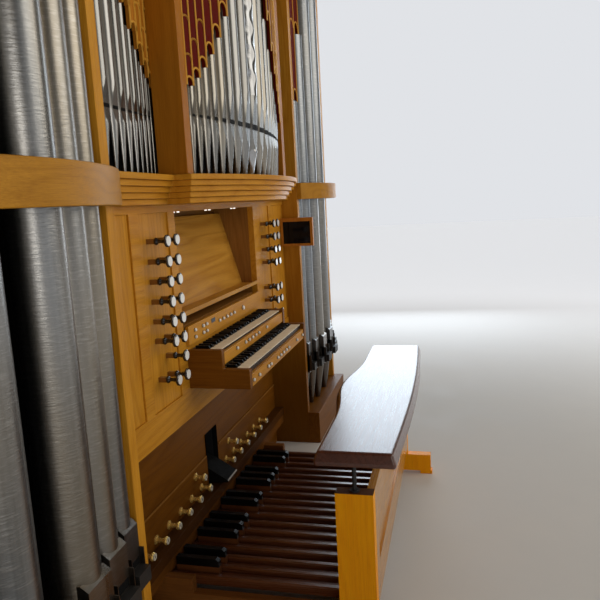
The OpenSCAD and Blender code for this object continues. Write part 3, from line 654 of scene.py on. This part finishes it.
def make_shades():
    """The pipe shades of the middle, the flats and the towers, with their mouldings."""
    flats = [([side * x for x in flat_edges()], flat_lows()) for side in (-1, 1)]
    towers = []
    for centre in (-TOWER_CENTRE, TOWER_CENTRE):
        edges = [centre - x for x in TOWER_EDGES] + [centre + x for x in TOWER_EDGES[-2::-1]]
        towers.append((edges, TOWER_LOWS + TOWER_LOWS[::-1]))
    cornice_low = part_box("cornice")[1][2] - CORNICE_HIGH
    for name, rows, top, front, finish, slot, node in (
            ("centre", [(centre_edges(), centre_lows())], cornice_low, bow_front, "red", "shade_red", "centre_shade"),
            ("flat", flats, BODY_TOP, lambda x: FLAT_SHADE_Y, "orange_oak", "shade_oak", "flat_shades"),
            ("tower", towers, BODY_TOP, lambda x: TOWER_SHADE_Y, "red", "shade_red", "tower_shades")):
        boards, borders = Mesh(), Mesh()
        for edges, lows in rows:
            if edges[0] > edges[-1]:
                edges, lows = edges[::-1], lows[::-1]
            shade_leaves(boards, edges, lows, top, front)
            shade_borders(borders, edges, lows, top, front)
        boards.piece(name + "_shade_boards", finish, slot, instead_of=node)
        borders.piece(name + "_shade_borders", "border", "shade_oak")


LINING_Y = (0.060, 0.070)
LINING_GAP = 0.001
TOWER_LINING_LOW = 0.190


def make_case_lining():
    """Dark boards close behind the pipes: painted shade, standing for the dark inside of the case."""
    lining = Mesh()
    top = BODY_TOP - 2 * LINING_GAP
    half = BAY_HALF_W - LINING_GAP
    lining.box((-half, half), LINING_Y, (IMPOST_TOP + LINING_GAP, top))
    for side in (-1, 1):
        left = side * TOWER_CENTRE - TOWER_ROOM + LINING_GAP
        lining.box((left, left + 2 * TOWER_ROOM - 2 * LINING_GAP), LINING_Y, (TOWER_LINING_LOW, top))
    lining.piece("case_shade_lining", "rubber", "black_steel")


SMALL_SIDES = 24
LARGE_SIDES = 72
# Shares of a pipe's radius
FOOT_TIP = 0.24
LIP_FLAT = 0.694
LIP_HALF = 0.8
MOUTH_HALF = 0.66
MOUTH_OUT = 0.75
MOUTH_IN = 0.6
# Shares of its diameter
LOWER_LIP = 0.9
UPPER_LIP = 1.6
MOUTH_HIGH = 0.22
# A large pipe's lip, its two ears and its beard, in metres
LIP_OUT = 0.005
LIP_BELOW = 0.060
LIP_ABOVE = 0.125
LIP_SLANT = 0.111
EAR_THICK = 0.003
EAR_OUT = 0.014
EAR_BELOW = 0.050
EAR_ABOVE = 0.045
BEARD_GAP = 0.0003
BEARD_OUT = 0.0303
BEARD_BELOW = (0.045, 0.003)


def small_pipe(mesh, mouth_shades, x, y, diameter, mouth, top):
    """A pipe on the impost: a cone-shaped foot, a round body and leaf-shaped lips pressed flat."""
    r = diameter / 2
    low, high = mouth - LOWER_LIP * diameter, mouth + UPPER_LIP * diameter
    low_r = r * (FOOT_TIP + (1 - FOOT_TIP) * low / mouth)
    heights = [0.0] + [low + (mouth - low) * i / 6 for i in range(7)]
    heights += [mouth + (high - mouth) * i / 9 for i in range(1, 10)] + [top]
    rings = []
    for z in heights:
        round_r = r * (FOOT_TIP + (1 - FOOT_TIP) * min(1.0, z / mouth))
        if low < z <= mouth:
            share = (z - low) / (mouth - low)
            flat = low_r + share * (LIP_FLAT * r - low_r)
        elif mouth < z < high:
            flat = r * (LIP_FLAT + (1 - LIP_FLAT) * (z - mouth) / (high - mouth))
        else:
            flat = round_r
        half = math.acos(min(flat / round_r, math.cos(0.08)))
        wide = round_r * math.sin(half)
        depth = round_r * math.cos(half)
        ring = [(x - wide + wide * i / 2, y - depth, IMPOST_TOP + z) for i in range(5)]
        for i in range(1, SMALL_SIDES):
            angle = half + (math.tau - 2 * half) * i / SMALL_SIDES
            ring.append((x + round_r * math.sin(angle), y - round_r * math.cos(angle), IMPOST_TOP + z))
        rings.append(ring)
    mesh.rings(rings)
    # A dark box in the mouth: painted shade, standing for the dark inside of the pipe.
    half = MOUTH_HALF * r
    low = IMPOST_TOP + mouth
    mouth_shades.box((x - half, x + half), (y - MOUTH_OUT * r, y - MOUTH_IN * r), (low, low + MOUTH_HIGH * diameter))


def large_pipe(mesh, mouth_shades, beards, x, y, diameter, top):
    """A tower pipe: foot, body, a flat lip with a sloping ledge between two ears, and the beard in front."""
    r = diameter / 2
    mesh.rings([[(a, b, z) for a, b in circle(x, y, round_r, LARGE_SIDES)]
                for z, round_r in ((PLINTH_TOP, FOOT_TIP * r), (TOWER_MOUTH, r), (top, r))])
    half = LIP_HALF * r
    front = y - r - LIP_OUT
    back = y - r / 2
    mouth = TOWER_MOUTH
    lip = [(front, mouth - LIP_BELOW), (back, mouth - LIP_BELOW), (back, mouth + LIP_ABOVE),
           (y - MOUTH_OUT * r, mouth + LIP_ABOVE), (front, mouth + LIP_SLANT)]
    mesh.prism("X", lip, x - half, x + half)
    for left in (x - half, x + half - EAR_THICK):
        mesh.box((left, left + EAR_THICK), (front - EAR_OUT, back), (mouth - EAR_BELOW, mouth + EAR_ABOVE))
    wide = half - EAR_THICK - BEARD_GAP
    # A dark box in the mouth: painted shade, standing for the dark inside of the pipe.
    half = MOUTH_HALF * r
    mouth_shades.box((x - half, x + half), (front - 0.0006, front + 0.01), (mouth, mouth + MOUTH_HIGH * diameter))
    beards.box((x - wide, x + wide), (front - BEARD_OUT, front - BEARD_GAP), [mouth - z for z in BEARD_BELOW])


def make_pipes():
    """The flats' and the middle tower's pipes, the side towers' large ones, their beards, and dark boxes of painted
    shade in their mouth openings.
    """
    mouth_shades, flats, centre, beards = Mesh(), Mesh(), Mesh(), Mesh()
    edges, lows = flat_edges(), flat_lows()
    for side in (-1, 1):
        for left, right, low in zip(edges, edges[1:], lows):
            diameter = left - right - PIPE_GAP
            small_pipe(flats, mouth_shades, side * (left + right) / 2, diameter / 2 - FLAT_FRONT, diameter, FLAT_MOUTH,
                       low + SHADE_COVER - IMPOST_TOP)
    x = 0.0
    for k in range(CENTRE_COUNT + 1):
        pitch = centre_pitch(k)
        diameter = pitch - PIPE_GAP
        y = CENTRE_RADIUS - CENTRE_FRONT - math.sqrt((CENTRE_RADIUS - diameter / 2) ** 2 - x * x)
        for place in sorted({-x, x}):
            small_pipe(centre, mouth_shades, place, y, diameter, CENTRE_MOUTH, CENTRE_MOUTH + centre_length(k))
        x += (pitch + pitch / CENTRE_RATIO) / 2
    flats.piece("flat_row_pipes", "small_metal", "pipe_metal", smooth=True,
                instead_of="flat_pipes_left flat_pipes_right")
    centre.piece("centre_row_pipes", "small_metal", "pipe_metal", smooth=True, instead_of="centre_pipes")
    for name, middle in (("left", -TOWER_CENTRE), ("right", TOWER_CENTRE)):
        large = Mesh()
        for offset, y, diameter, top in TOWER_PIPES:
            for place in (-offset, offset):
                large_pipe(large, mouth_shades, beards, middle + place, y, diameter, top)
        large.piece("large_pipes_" + name, "large_metal", "pipe_metal", smooth=True,
                    instead_of="tower_pipes_" + name)
    # The dark boxes in the mouths are painted shade.
    mouth_shades.piece("pipe_mouth_shades", "rubber", "black_steel")
    beards.piece("tower_beards", "beard", "black_steel")


EMBOSS_STEPS = 60
EMBOSS_TURNS = 4
EMBOSS_WAVES = 67.0
EMBOSS_RISE = 0.0060
EMBOSS_OVER = 0.0006


def make_embossed_pipe():
    """The middle pipe's embossed sheet: raised lozenges, each row between those of the next, on body and foot."""
    radius = (centre_pitch(0) - PIPE_GAP) / 2
    axis_y = -CENTRE_FRONT + radius
    sheet = Mesh()
    foot = (0.012, CENTRE_MOUTH - 0.075, 24)
    body = (CENTRE_MOUTH + 0.13, centre_length(0) + CENTRE_MOUTH - 0.03, 230)
    for low, high, rows in (foot, body):
        rings = []
        for row in range(rows + 1):
            z = low + (high - low) * row / rows
            taper = FOOT_TIP + (1 - FOOT_TIP) * min(1.0, z / CENTRE_MOUTH)
            end = min(1.0, 12.0 * min(row, rows - row) / rows)
            ring = []
            for i in range(EMBOSS_STEPS):
                angle = math.tau * i / EMBOSS_STEPS
                cell = math.cos(EMBOSS_TURNS * angle) * math.cos(z * EMBOSS_WAVES)
                r = radius * taper + EMBOSS_OVER + EMBOSS_RISE * (0.5 + 0.5 * cell) * end * taper
                ring.append((r * math.cos(angle), axis_y + r * math.sin(angle), IMPOST_TOP + z))
            rings.append(ring)
        sheet.rings(rings, closed=False)
    sheet.piece("embossed_pipe", "embossed_metal", "pipe_metal", smooth=True)


ARC_STEPS = 64
IMPOST_BOARDS = 5
IMPOST_BOARD = 0.018
IMPOST_STEP = 0.013
IMPOST_BACK = 0.100
BOW_HALF = 0.610
BOW_RADIUS = 1.35560
BOW_ENDS = 0.060
BOW_RISE = 0.145
BOW_CENTRE_Y = CASE_FRONT - BOW_ENDS + BOW_RADIUS - BOW_RISE
BAND_HALF = 0.4175
BAND_RADIUS = 0.88253
BAND_ENDS = 0.025
BAND_RISE = 0.105
BAND_CENTRE_Y = CASE_FRONT - BAND_ENDS + BAND_RADIUS - BAND_RISE
BAND_THICK = 0.028
BAND_WIDE = 0.030
BAND_Z = (1.420, 1.510)
PIER_Y = (-0.165, -0.065)


def arc(half, radius, centre_y):
    """Points of an arc that bulges to the front, from x = half to x = -half."""
    xs = [half - 2 * half * i / ARC_STEPS for i in range(ARC_STEPS + 1)]
    return [(x, centre_y - math.sqrt(radius * radius - x * x)) for x in xs]


def make_case_front():
    """The stepped impost with its bowed middle, the towers' bands and the two piers."""
    impost = Mesh()
    for i in range(IMPOST_BOARDS):
        back = i * IMPOST_STEP
        front = CASE_FRONT + back
        half = BOW_HALF - back
        outline = [(-BAY_HALF_W, IMPOST_BACK), (BAY_HALF_W, IMPOST_BACK), (BAY_HALF_W, front), (half, front)]
        outline += arc(half, BOW_RADIUS - back, BOW_CENTRE_Y) + [(-half, front), (-BAY_HALF_W, front)]
        impost.prism("Z", outline, IMPOST_TOP - (i + 1) * IMPOST_BOARD, IMPOST_TOP - i * IMPOST_BOARD)
    impost.piece("impost_boards", "oak_x", "oak", edges=2.5, instead_of="impost")
    bands = Mesh()
    inner = BAND_HALF - BAND_WIDE
    outline = [(BAND_HALF, CASE_FRONT), *arc(BAND_HALF, BAND_RADIUS, BAND_CENTRE_Y), (-BAND_HALF, CASE_FRONT),
               (-inner, CASE_FRONT), *arc(inner, BAND_RADIUS - BAND_THICK, BAND_CENTRE_Y)[::-1], (inner, CASE_FRONT)]
    for side in (-1, 1):
        bands.prism("Z", [(x + side * TOWER_CENTRE, y) for x, y in outline], *BAND_Z)
    bands.piece("tower_band_boards", "band_oak", "oak", edges=3.0, instead_of="tower_bands")
    piers = Mesh()
    for left in (-PIER_OUTER, PIER_INNER):
        piers.box((left, left + PIER_OUTER - PIER_INNER), PIER_Y, (IMPOST_TOP, BODY_TOP))
    piers.piece("pier_boards", "pier_oak", "oak", edges=2.0, instead_of="centre_piers")


# Console details

STOP_TOP = 1.307
STOP_PITCH = 0.064
STOP_HEAD = 0.039
SMALL_HEAD = 0.026
FACE_SHARE = 0.80
# The rows, counted from the top, that have a stop in each column at x
LEFT_ROWS = {0.641: (1, 2, 3, 4, 5, 6, 8), 0.574: (1, 2, 3, 4, 5, 6, 7, 8)}
RIGHT_ROWS = {0.574: (1, 2, 3, 4, 6, 7), 0.641: (1, 2, 3, 4, 6, 7)}
SINGLE_STOP = (0.641, STOP_TOP - 7 * STOP_PITCH)


def make_stop_faces():
    """The white faces let into the stops' black heads."""
    for name, side, columns in (("left", -1, LEFT_ROWS), ("right", 1, RIGHT_ROWS)):
        spots = [(side * x, STOP_TOP - (row - 1) * STOP_PITCH, STOP_HEAD)
                 for x, rows in columns.items() for row in rows]
        if side > 0:
            spots.append((*SINGLE_STOP, SMALL_HEAD))
        faces = Mesh()
        for x, z, head in spots:
            faces.prism("Y", circle(x, z, FACE_SHARE * head / 2, 20), STOP_FACE + 0.0002, STOP_FACE - 0.0006)
        faces.piece("stop_faces_" + name, "white", "piston_white")


LAMP_X = (-0.330, -0.290, -0.020, 0.020, 0.290, 0.330)
LAMP_Y = 0.020
LAMP_R = 0.005
LAMP_Z = (1.391, 1.395)
DISPLAY_X = (-0.209, -0.169)
DISPLAY_Z = (0.960, 0.976)
DESK_HALF = 0.4397
DESK_SIDE = [(-0.035, 1.025), (0.056, 1.025), (0.149, 1.372), (0.137, 1.372), (0.044, 1.033), (-0.029, 1.033),
             (-0.029, 1.042), (-0.035, 1.042)]
SHANK_HALF = 0.008
SHANK_Y = (-0.054, -0.027)
# The small stop's turned form: radius and distance out from its shank
KNOB_FORM = [(0.0, 0.0), (0.010, 0.0), (0.012, 0.004), (0.011, 0.008), (0.007, 0.012), (0.006, 0.020), (0.008, 0.030),
             (0.0104, 0.037), (0.013, 0.040), (0.013, 0.045), (0.0105, 0.046), (0.0, 0.046)]


def make_console_details():
    """The memory display, the music desk, the lamps over it and the small single stop."""
    board("memory_display", "screen", "stop_black", DISPLAY_X, (PISTON_PANEL_Y - 0.0012, PISTON_PANEL_Y + 0.001),
          DISPLAY_Z)
    desk = Mesh()
    desk.prism("X", DESK_SIDE, -DESK_HALF, DESK_HALF)
    desk.piece("music_desk_board", "desk", "oak", edges=1.0, instead_of="music_desk")
    lamps = Mesh()
    for x in LAMP_X:
        lamps.prism("Z", circle(x, LAMP_Y, LAMP_R, 16), *LAMP_Z)
    lamps.piece("recess_lamps", "lamps", "light_white", instead_of="recess_lights")
    knob = Mesh()
    x, z = SINGLE_STOP
    knob.box((x - SHANK_HALF, x + SHANK_HALF), SHANK_Y, (z - SHANK_HALF, z + SHANK_HALF))
    knob.rings([[(a, SHANK_Y[0] - out, b) for a, b in circle(x, z, r + 0.0001, 24)] for r, out in KNOB_FORM])
    knob.piece("single_stop", "stops", "stop_black", smooth=True)


TOE_LOW = (0.147, 0.252, 0.357, 0.461, 0.566, 0.670)
TOE_LOW_Z = 0.245
TOE_HIGH = (0.197, 0.314)


def make_toe_faces():
    """The cream faces of the toe pistons, each with a small dark mark in its middle."""
    places = [(side * x, TOE_LOW_Z) for side in (-1, 1) for x in TOE_LOW]
    places += [(side * TOE_HIGH[0], TOE_HIGH[1]) for side in (-1, 1)]
    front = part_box("toe_pistons")[0][1]
    faces, marks = Mesh(), Mesh()
    for x, z in places:
        faces.prism("Y", circle(x, z, 0.0122, 20), front + 0.0016, front - 0.0004)
        marks.box((x - 0.0018, x + 0.0018), (front - 0.0008, front + 0.001), (z - 0.0048, z + 0.0048))
    faces.piece("toe_piston_faces", "cream", "piston_white")
    marks.piece("toe_piston_marks", "black_gloss", "stop_black")


NATURALS = 34
KEY_PITCH = 0.0235
MANUAL_HALF = NATURALS * KEY_PITCH / 2
SHARP_OFFSET = (-0.0025, 0.0025, 0.0, -0.003, 0.0, 0.003)
SHARP_HALF = 0.0055
HEAD_LEN = 0.042
KEY_THICK = 0.020
SHARP_HIGH = 0.011
GAP = 0.001
CHEEK_IN = 0.400
CHEEK_OUT = 0.427
CHEEK_SIDE = [(-0.033, 0.763), (-0.263, 0.763), (-0.263, 0.834), (-0.164, 0.834), (-0.164, 0.903), (-0.033, 0.903)]
CONSOLE_Y = -0.033
# Each manual's key desk and keyslip: front and heights
DESKS = ((-0.245, 0.763, 0.810), (-0.146, 0.863, 0.879))
SLIPS = (("lower", LOWER_SLIP_Y, 0.763, 0.808), ("upper", UPPER_SLIP_Y, 0.844, 0.889))
SLIP_THICK = 0.0137
PANEL_Z = (0.920, 0.989)
# Each manual's front, top of its keys, and how far back its naturals and its sharps reach
MANUALS = (("lower", 0.245, LOWER_KEY_TOP, 0.053, 0.162), ("upper", 0.146, UPPER_KEY_TOP, 0.033, 0.048))


def has_sharp(i):
    """Whether a sharp follows the ith natural, where the first is a C."""
    return i % 7 not in (2, 6)


def sharp_x(i):
    return -MANUAL_HALF + (i + 1) * KEY_PITCH + SHARP_OFFSET[i % 7]


def make_manuals():
    """The key desk with its cheeks and keyslips, the piston panel, and the keys of both manuals."""
    desk = Mesh()
    for side in (-1, 1):
        desk.prism("X", CHEEK_SIDE, *sorted((side * CHEEK_IN, side * CHEEK_OUT)))
    for front, low, high in DESKS:
        desk.box((-CHEEK_IN, CHEEK_IN), (front, CONSOLE_Y), (low, high))
    desk.piece("key_desk_boards", "brown_y", "oak_shaded", edges=2.0, instead_of="key_desk")
    for name, front, low, high in SLIPS:
        board(name + "_keyslip_board", "oak_x", "oak", (-CHEEK_IN, CHEEK_IN), (front, front + SLIP_THICK),
              (low, high), edges=1.0, instead_of=name + "_keyslip")
    board("piston_panel_board", "oak_x", "oak", (-CHEEK_OUT, CHEEK_OUT), (PISTON_PANEL_Y, CONSOLE_Y), PANEL_Z,
          edges=1.0, instead_of="piston_panel")
    for name, front, top, back, sharp_back in MANUALS:
        whites, blacks = Mesh(), Mesh()
        low, high = top - KEY_THICK, top + SHARP_HIGH
        nose = -front + HEAD_LEN + GAP
        sharp_side = [(nose, low), (-sharp_back, low), (-sharp_back, high), (nose + 0.005, high), (nose, top + 0.002)]
        for i in range(NATURALS):
            left = -MANUAL_HALF + i * KEY_PITCH + GAP / 2
            right = left + KEY_PITCH - GAP
            whites.box((left, right), (-front, -front + HEAD_LEN), (low, top))
            if i and has_sharp(i - 1):
                left = sharp_x(i - 1) + SHARP_HALF + GAP
            if i < NATURALS - 1 and has_sharp(i):
                right = sharp_x(i) - SHARP_HALF - GAP
                blacks.prism("X", sharp_side, sharp_x(i) - SHARP_HALF, sharp_x(i) + SHARP_HALF)
            whites.box((left, right), (-front + HEAD_LEN, -back), (low, top))
        whites.piece(name + "_white_keys", name + "_keys", "key_natural", instead_of=name + "_naturals")
        blacks.piece(name + "_black_keys", "ebony", "key_sharp", edges=0.8, instead_of=name + "_sharps")


PISTON_R = 0.006
LARGE_PISTON_R = 0.009
PAIR_RISE = 0.013
PANEL_ROW = 0.9545
UPPER_ROW = 0.8725
LOWER_ROW = 0.7855


def five(first):
    """Where five pistons in a row stand, from the first one's x."""
    return [first + 0.044 * i for i in range(5)]


def make_thumb_pistons():
    """Thumb pistons, each a collar and a rounded button."""
    places = [(x, PISTON_PANEL_Y, PANEL_ROW + rise, PISTON_R) for x in (-0.372, -0.297, -0.262)
              for rise in (-PAIR_RISE, PAIR_RISE)]
    places += [(x, PISTON_PANEL_Y, PANEL_ROW, PISTON_R) for x in five(-0.126)]
    places.append((0.168, PISTON_PANEL_Y, PANEL_ROW, LARGE_PISTON_R))
    places += [(x, UPPER_SLIP_Y, UPPER_ROW, PISTON_R) for x in [-0.258, 0.134] + five(-0.158)]
    singles = [-0.380, -0.312, -0.196, -0.161, 0.264, 0.370]
    places += [(x, LOWER_SLIP_Y, LOWER_ROW, PISTON_R) for x in singles + five(-0.059)]
    pistons = Mesh()
    for x, y, z, r in places:
        shape = [(r + 0.001, 0.0), (r + 0.001, 0.002), (r, 0.002), (r, 0.006), (r - 0.0015, 0.008)]
        pistons.rings([[(a, y - out, b) for a, b in circle(x, z, wide, 20)] for wide, out in shape])
    pistons.piece("thumb_piston_buttons", "pistons", "piston_white", smooth=True, instead_of="thumb_pistons")


# The monitor's front, the back of its rim and its back
MONITOR_X = (0.930, 0.937, 0.955)
MONITOR_YZ = ((-0.212, -0.030), (1.165, 1.320))
SCREEN_X = (0.933, 0.9368)
SCREEN_YZ = ((-0.198, -0.044), (1.179, 1.300))


def make_monitor():
    """The monitor: an oak frame round a dark screen that lies a little sunk."""
    case = Mesh()
    front, rim, back = MONITOR_X
    case.box((rim, back), *MONITOR_YZ)
    case.frame("X", (front, rim), MONITOR_YZ, SCREEN_YZ)
    case.piece("monitor_frame", "monitor_wood", "oak_shaded", instead_of="monitor")
    board("monitor_screen", "screen", "stop_black", SCREEN_X, *SCREEN_YZ)


# Swell pedal, pedalboard and bench

SWELL_AXIS = (0.118, 0.228)
SWELL_HALF = 0.058
# The tread's side, seen from its axis
SWELL_FORM = ((-0.122, 0.002), (-0.122, 0.010), (0.032, 0.102), (0.042, 0.096), (0.014, 0.062), (0.012, -0.006),
              (0.0, -0.014), (-0.014, -0.006))
OPENING_HALF = 0.064
OPENING_Y = (0.0808, 0.1028)
OPENING_TOP_Y = 0.0838
OPENING_Z = (0.190, 0.443)
OPENING_EDGE = 0.001


def make_swell_pedal():
    """The swell pedal's tread, with a bright strip along its near edge."""
    tread = Mesh()
    tread.prism("X", [(SWELL_AXIS[0] + y, SWELL_AXIS[1] + z) for y, z in SWELL_FORM], -SWELL_HALF, SWELL_HALF)
    tread.piece("swell_tread", "rubber", "swell_black", body="swell_shoe", edges=1.5, instead_of="swell_pedal")
    near, low = SWELL_AXIS[0] + SWELL_FORM[1][0], SWELL_AXIS[1] + SWELL_FORM[1][1]
    half = SWELL_HALF - 0.003
    board("swell_pedal_edge", "bright_edge", "toe_brass", (-half, half), (near - 0.0010, near + 0.0030),
          (low - 0.0040, low + 0.0016), body="swell_shoe")


def make_swell_lining():
    """The black edges of the opening that the swell pedal works in."""
    lining = Mesh()
    low, high = OPENING_Z
    width = (-OPENING_HALF, OPENING_HALF)
    for left in (-OPENING_HALF, OPENING_HALF - OPENING_EDGE):
        lining.box((left, left + OPENING_EDGE), OPENING_Y, OPENING_Z)
    lining.box(width, OPENING_Y, (low, low + OPENING_EDGE))
    lining.box(width, (OPENING_TOP_Y, OPENING_Y[1]), (high - OPENING_EDGE, high))
    lining.piece("swell_opening_edges", "rubber", "swell_black")


PEDALS = 18
PEDAL_PITCH = 0.065
PEDAL_HALF = 0.012
PEDAL_LOW = 0.088
PEDAL_TOP = 0.120
PEDAL_ROUND = 0.004
PEDAL_ENDS = (-0.610, 0.080)
STICK_DROP = 0.012
CAP_ENDS = (-0.135, 0.028)
CAP_TOP = 0.165
CAP_SLOPE = (0.012, 0.0084)


def pedal_stick(mesh, x, top):
    outer, inner = PEDAL_HALF, PEDAL_HALF - PEDAL_ROUND
    side = top - PEDAL_ROUND
    mesh.prism("Y", [(x - outer, PEDAL_LOW), (x + outer, PEDAL_LOW), (x + outer, side), (x + inner, top),
                     (x - inner, top), (x - outer, side)], *PEDAL_ENDS)


def make_pedals():
    """The pedal keys: sticks with sloped upper edges, and the sharps' black caps."""
    naturals, sharps = Mesh(), Mesh()
    stick_top = PEDAL_TOP - STICK_DROP
    low = stick_top - PEDAL_ROUND
    front, back = CAP_ENDS
    slope_y, slope_z = CAP_SLOPE
    cap = [(front, low), (back, low), (back, CAP_TOP), (front + slope_y, CAP_TOP), (front, CAP_TOP - slope_z)]
    for i in range(PEDALS):
        x = (i + 0.5 - PEDALS / 2) * PEDAL_PITCH
        pedal_stick(naturals, x, PEDAL_TOP)
        if i < PEDALS - 1 and has_sharp(i):
            x += PEDAL_PITCH / 2
            pedal_stick(sharps, x, stick_top)
            sharps.prism("X", cap, x - PEDAL_HALF, x + PEDAL_HALF)
    naturals.piece("pedal_natural_keys", "pedal_wood", "pedal_wood", edges=1.0, instead_of="pedal_naturals")
    sharps.piece("pedal_sharp_keys", "pedal_sharps", "pedal_black", edges=1.5, instead_of="pedal_sharps")


TOE_BOARD_LOW = 0.172
KICK_LOW = 0.125
KICK_Y = (0.034, 0.050)
TOE_FOOT_Y = (0.082, 0.102)


def make_kick_board():
    """The kick board under the toe rail, and the toe board's lower part behind the pedals."""
    width = (-BAY_HALF_W, BAY_HALF_W)
    board("kick_board", "kick_board", "oak_shaded", width, KICK_Y, (KICK_LOW, TOE_BOARD_LOW), edges=1.0)
    board("toe_board_foot", "brown_x", "oak_shaded", width, TOE_FOOT_Y, (0.0, TOE_BOARD_LOW))


def make_toe_bead():
    """The bead along the joint between the knee board and the toe board."""
    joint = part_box("toe_board")[1][2]
    swell_low, swell_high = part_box("swell_frame")
    bead = Mesh()
    for left, right in ((-BAY_HALF_W, swell_low[0]), (swell_high[0], BAY_HALF_W)):
        bead.strip([(left, TOE_FACE, joint), (right, TOE_FACE, joint)], 0.007, 0.004)
    bead.piece("toe_board_bead", "lining", "oak_shaded")


SEAT_HALF = 0.707
SEAT_Z = 0.614
SEAT_THICK = 0.046
SEAT_Y = (-0.790, -0.541)
SEAT_MID_Y = -0.6655
SEAT_HALF_Y = 0.1245
SEAT_SLOPE = 0.010
SEAT_STEPS = 24
OUTER_BULGE = 0.024
INNER_BULGE = 0.045
BULGE_HALF = 0.446
BENCH_PANEL = ((-0.6375, 0.6375), (0.130, 0.520))
BENCH_FIELD = ((-0.5775, 0.5775), (0.250, 0.425))
# The front of the panel's boards, the field that they stand round, and its back
BENCH_PANEL_Y = (-0.716, -0.708, -0.692)


def make_bench():
    """The seat with both long sides curved out, and the panel between the bench's ends."""
    near, far = SEAT_Y
    plan = []
    for i in range(SEAT_STEPS + 1):
        x = SEAT_HALF * (-1 + 2 * i / SEAT_STEPS)
        plan.append((x, near - OUTER_BULGE * math.cos(math.pi / 2 * x / SEAT_HALF)))
    plan.append((SEAT_HALF, far))
    for i in range(SEAT_STEPS + 1):
        x = BULGE_HALF * (1 - 2 * i / SEAT_STEPS)
        plan.append((x, far + INNER_BULGE * math.cos(math.pi / 2 * x / BULGE_HALF) ** 3))
    plan.append((-SEAT_HALF, far))
    rings = []
    for z, inset in ((SEAT_Z, 0.0), (SEAT_Z + 0.35 * SEAT_THICK, 0.0), (SEAT_Z + SEAT_THICK, SEAT_SLOPE)):
        along_x, along_y = 1 - inset / SEAT_HALF, 1 - inset / SEAT_HALF_Y
        rings.append([(x * along_x, SEAT_MID_Y + (y - SEAT_MID_Y) * along_y, z) for x, y in plan])
    seat = Mesh()
    seat.rings(rings)
    seat.piece("seat_board", "seat", "seat_wood", body="seat", edges=8.0, instead_of="bench_seat")
    panel = Mesh()
    front, field, back = BENCH_PANEL_Y
    panel.box(BENCH_PANEL[0], (field, back), BENCH_PANEL[1])
    panel.frame("Y", (front, field), BENCH_PANEL, BENCH_FIELD)
    panel.piece("bench_panel_boards", "bench_panel", "oak", instead_of="bench_panel")


FLOOR_HALF = 30.0


def make_floor():
    """A pale floor that turns as bright as the room round it in the distance."""
    mesh = bpy.data.meshes.new("floor")
    corners = ((-1, -1), (1, -1), (1, 1), (-1, 1))
    mesh.from_pydata([(FLOOR_HALF * x, FLOOR_HALF * y, 0) for x, y in corners], [], [(0, 1, 2, 3)])
    floor = bpy.data.objects.new("floor", mesh)
    finish = plain("floor", (0.66, 0.65, 0.63), 0.7, variation=0.03, grain=(3.0, 3.0, 3.0), shine=0.1)
    away = finish.node("VectorMath", {"operation": "LENGTH"}, i0=finish.coords()).outputs["Value"]
    glow = finish.ranged(away, 1.8, 7.0, 0.0, 0.69, "SMOOTHSTEP")
    finish.set(Emission_Strength=glow, Emission_Color=(0.94, 0.96, 1.0, 1.0))
    mesh.materials.append(finish.material)
    SCENE.collection.objects.link(floor)


SCENE.view_settings.view_transform = "Standard"
MATERIALS = make_materials()
for make in (make_camera, make_world, make_light, make_floor, finish_nodes, soften_edges, make_case_front,
             make_shades, make_case_lining, make_pipes, make_embossed_pipe, make_stop_faces, make_console_details,
             make_manuals, make_thumb_pistons, make_monitor, make_toe_faces, make_toe_bead, make_kick_board,
             make_swell_lining, make_swell_pedal, make_pedals, make_bench):
    make()
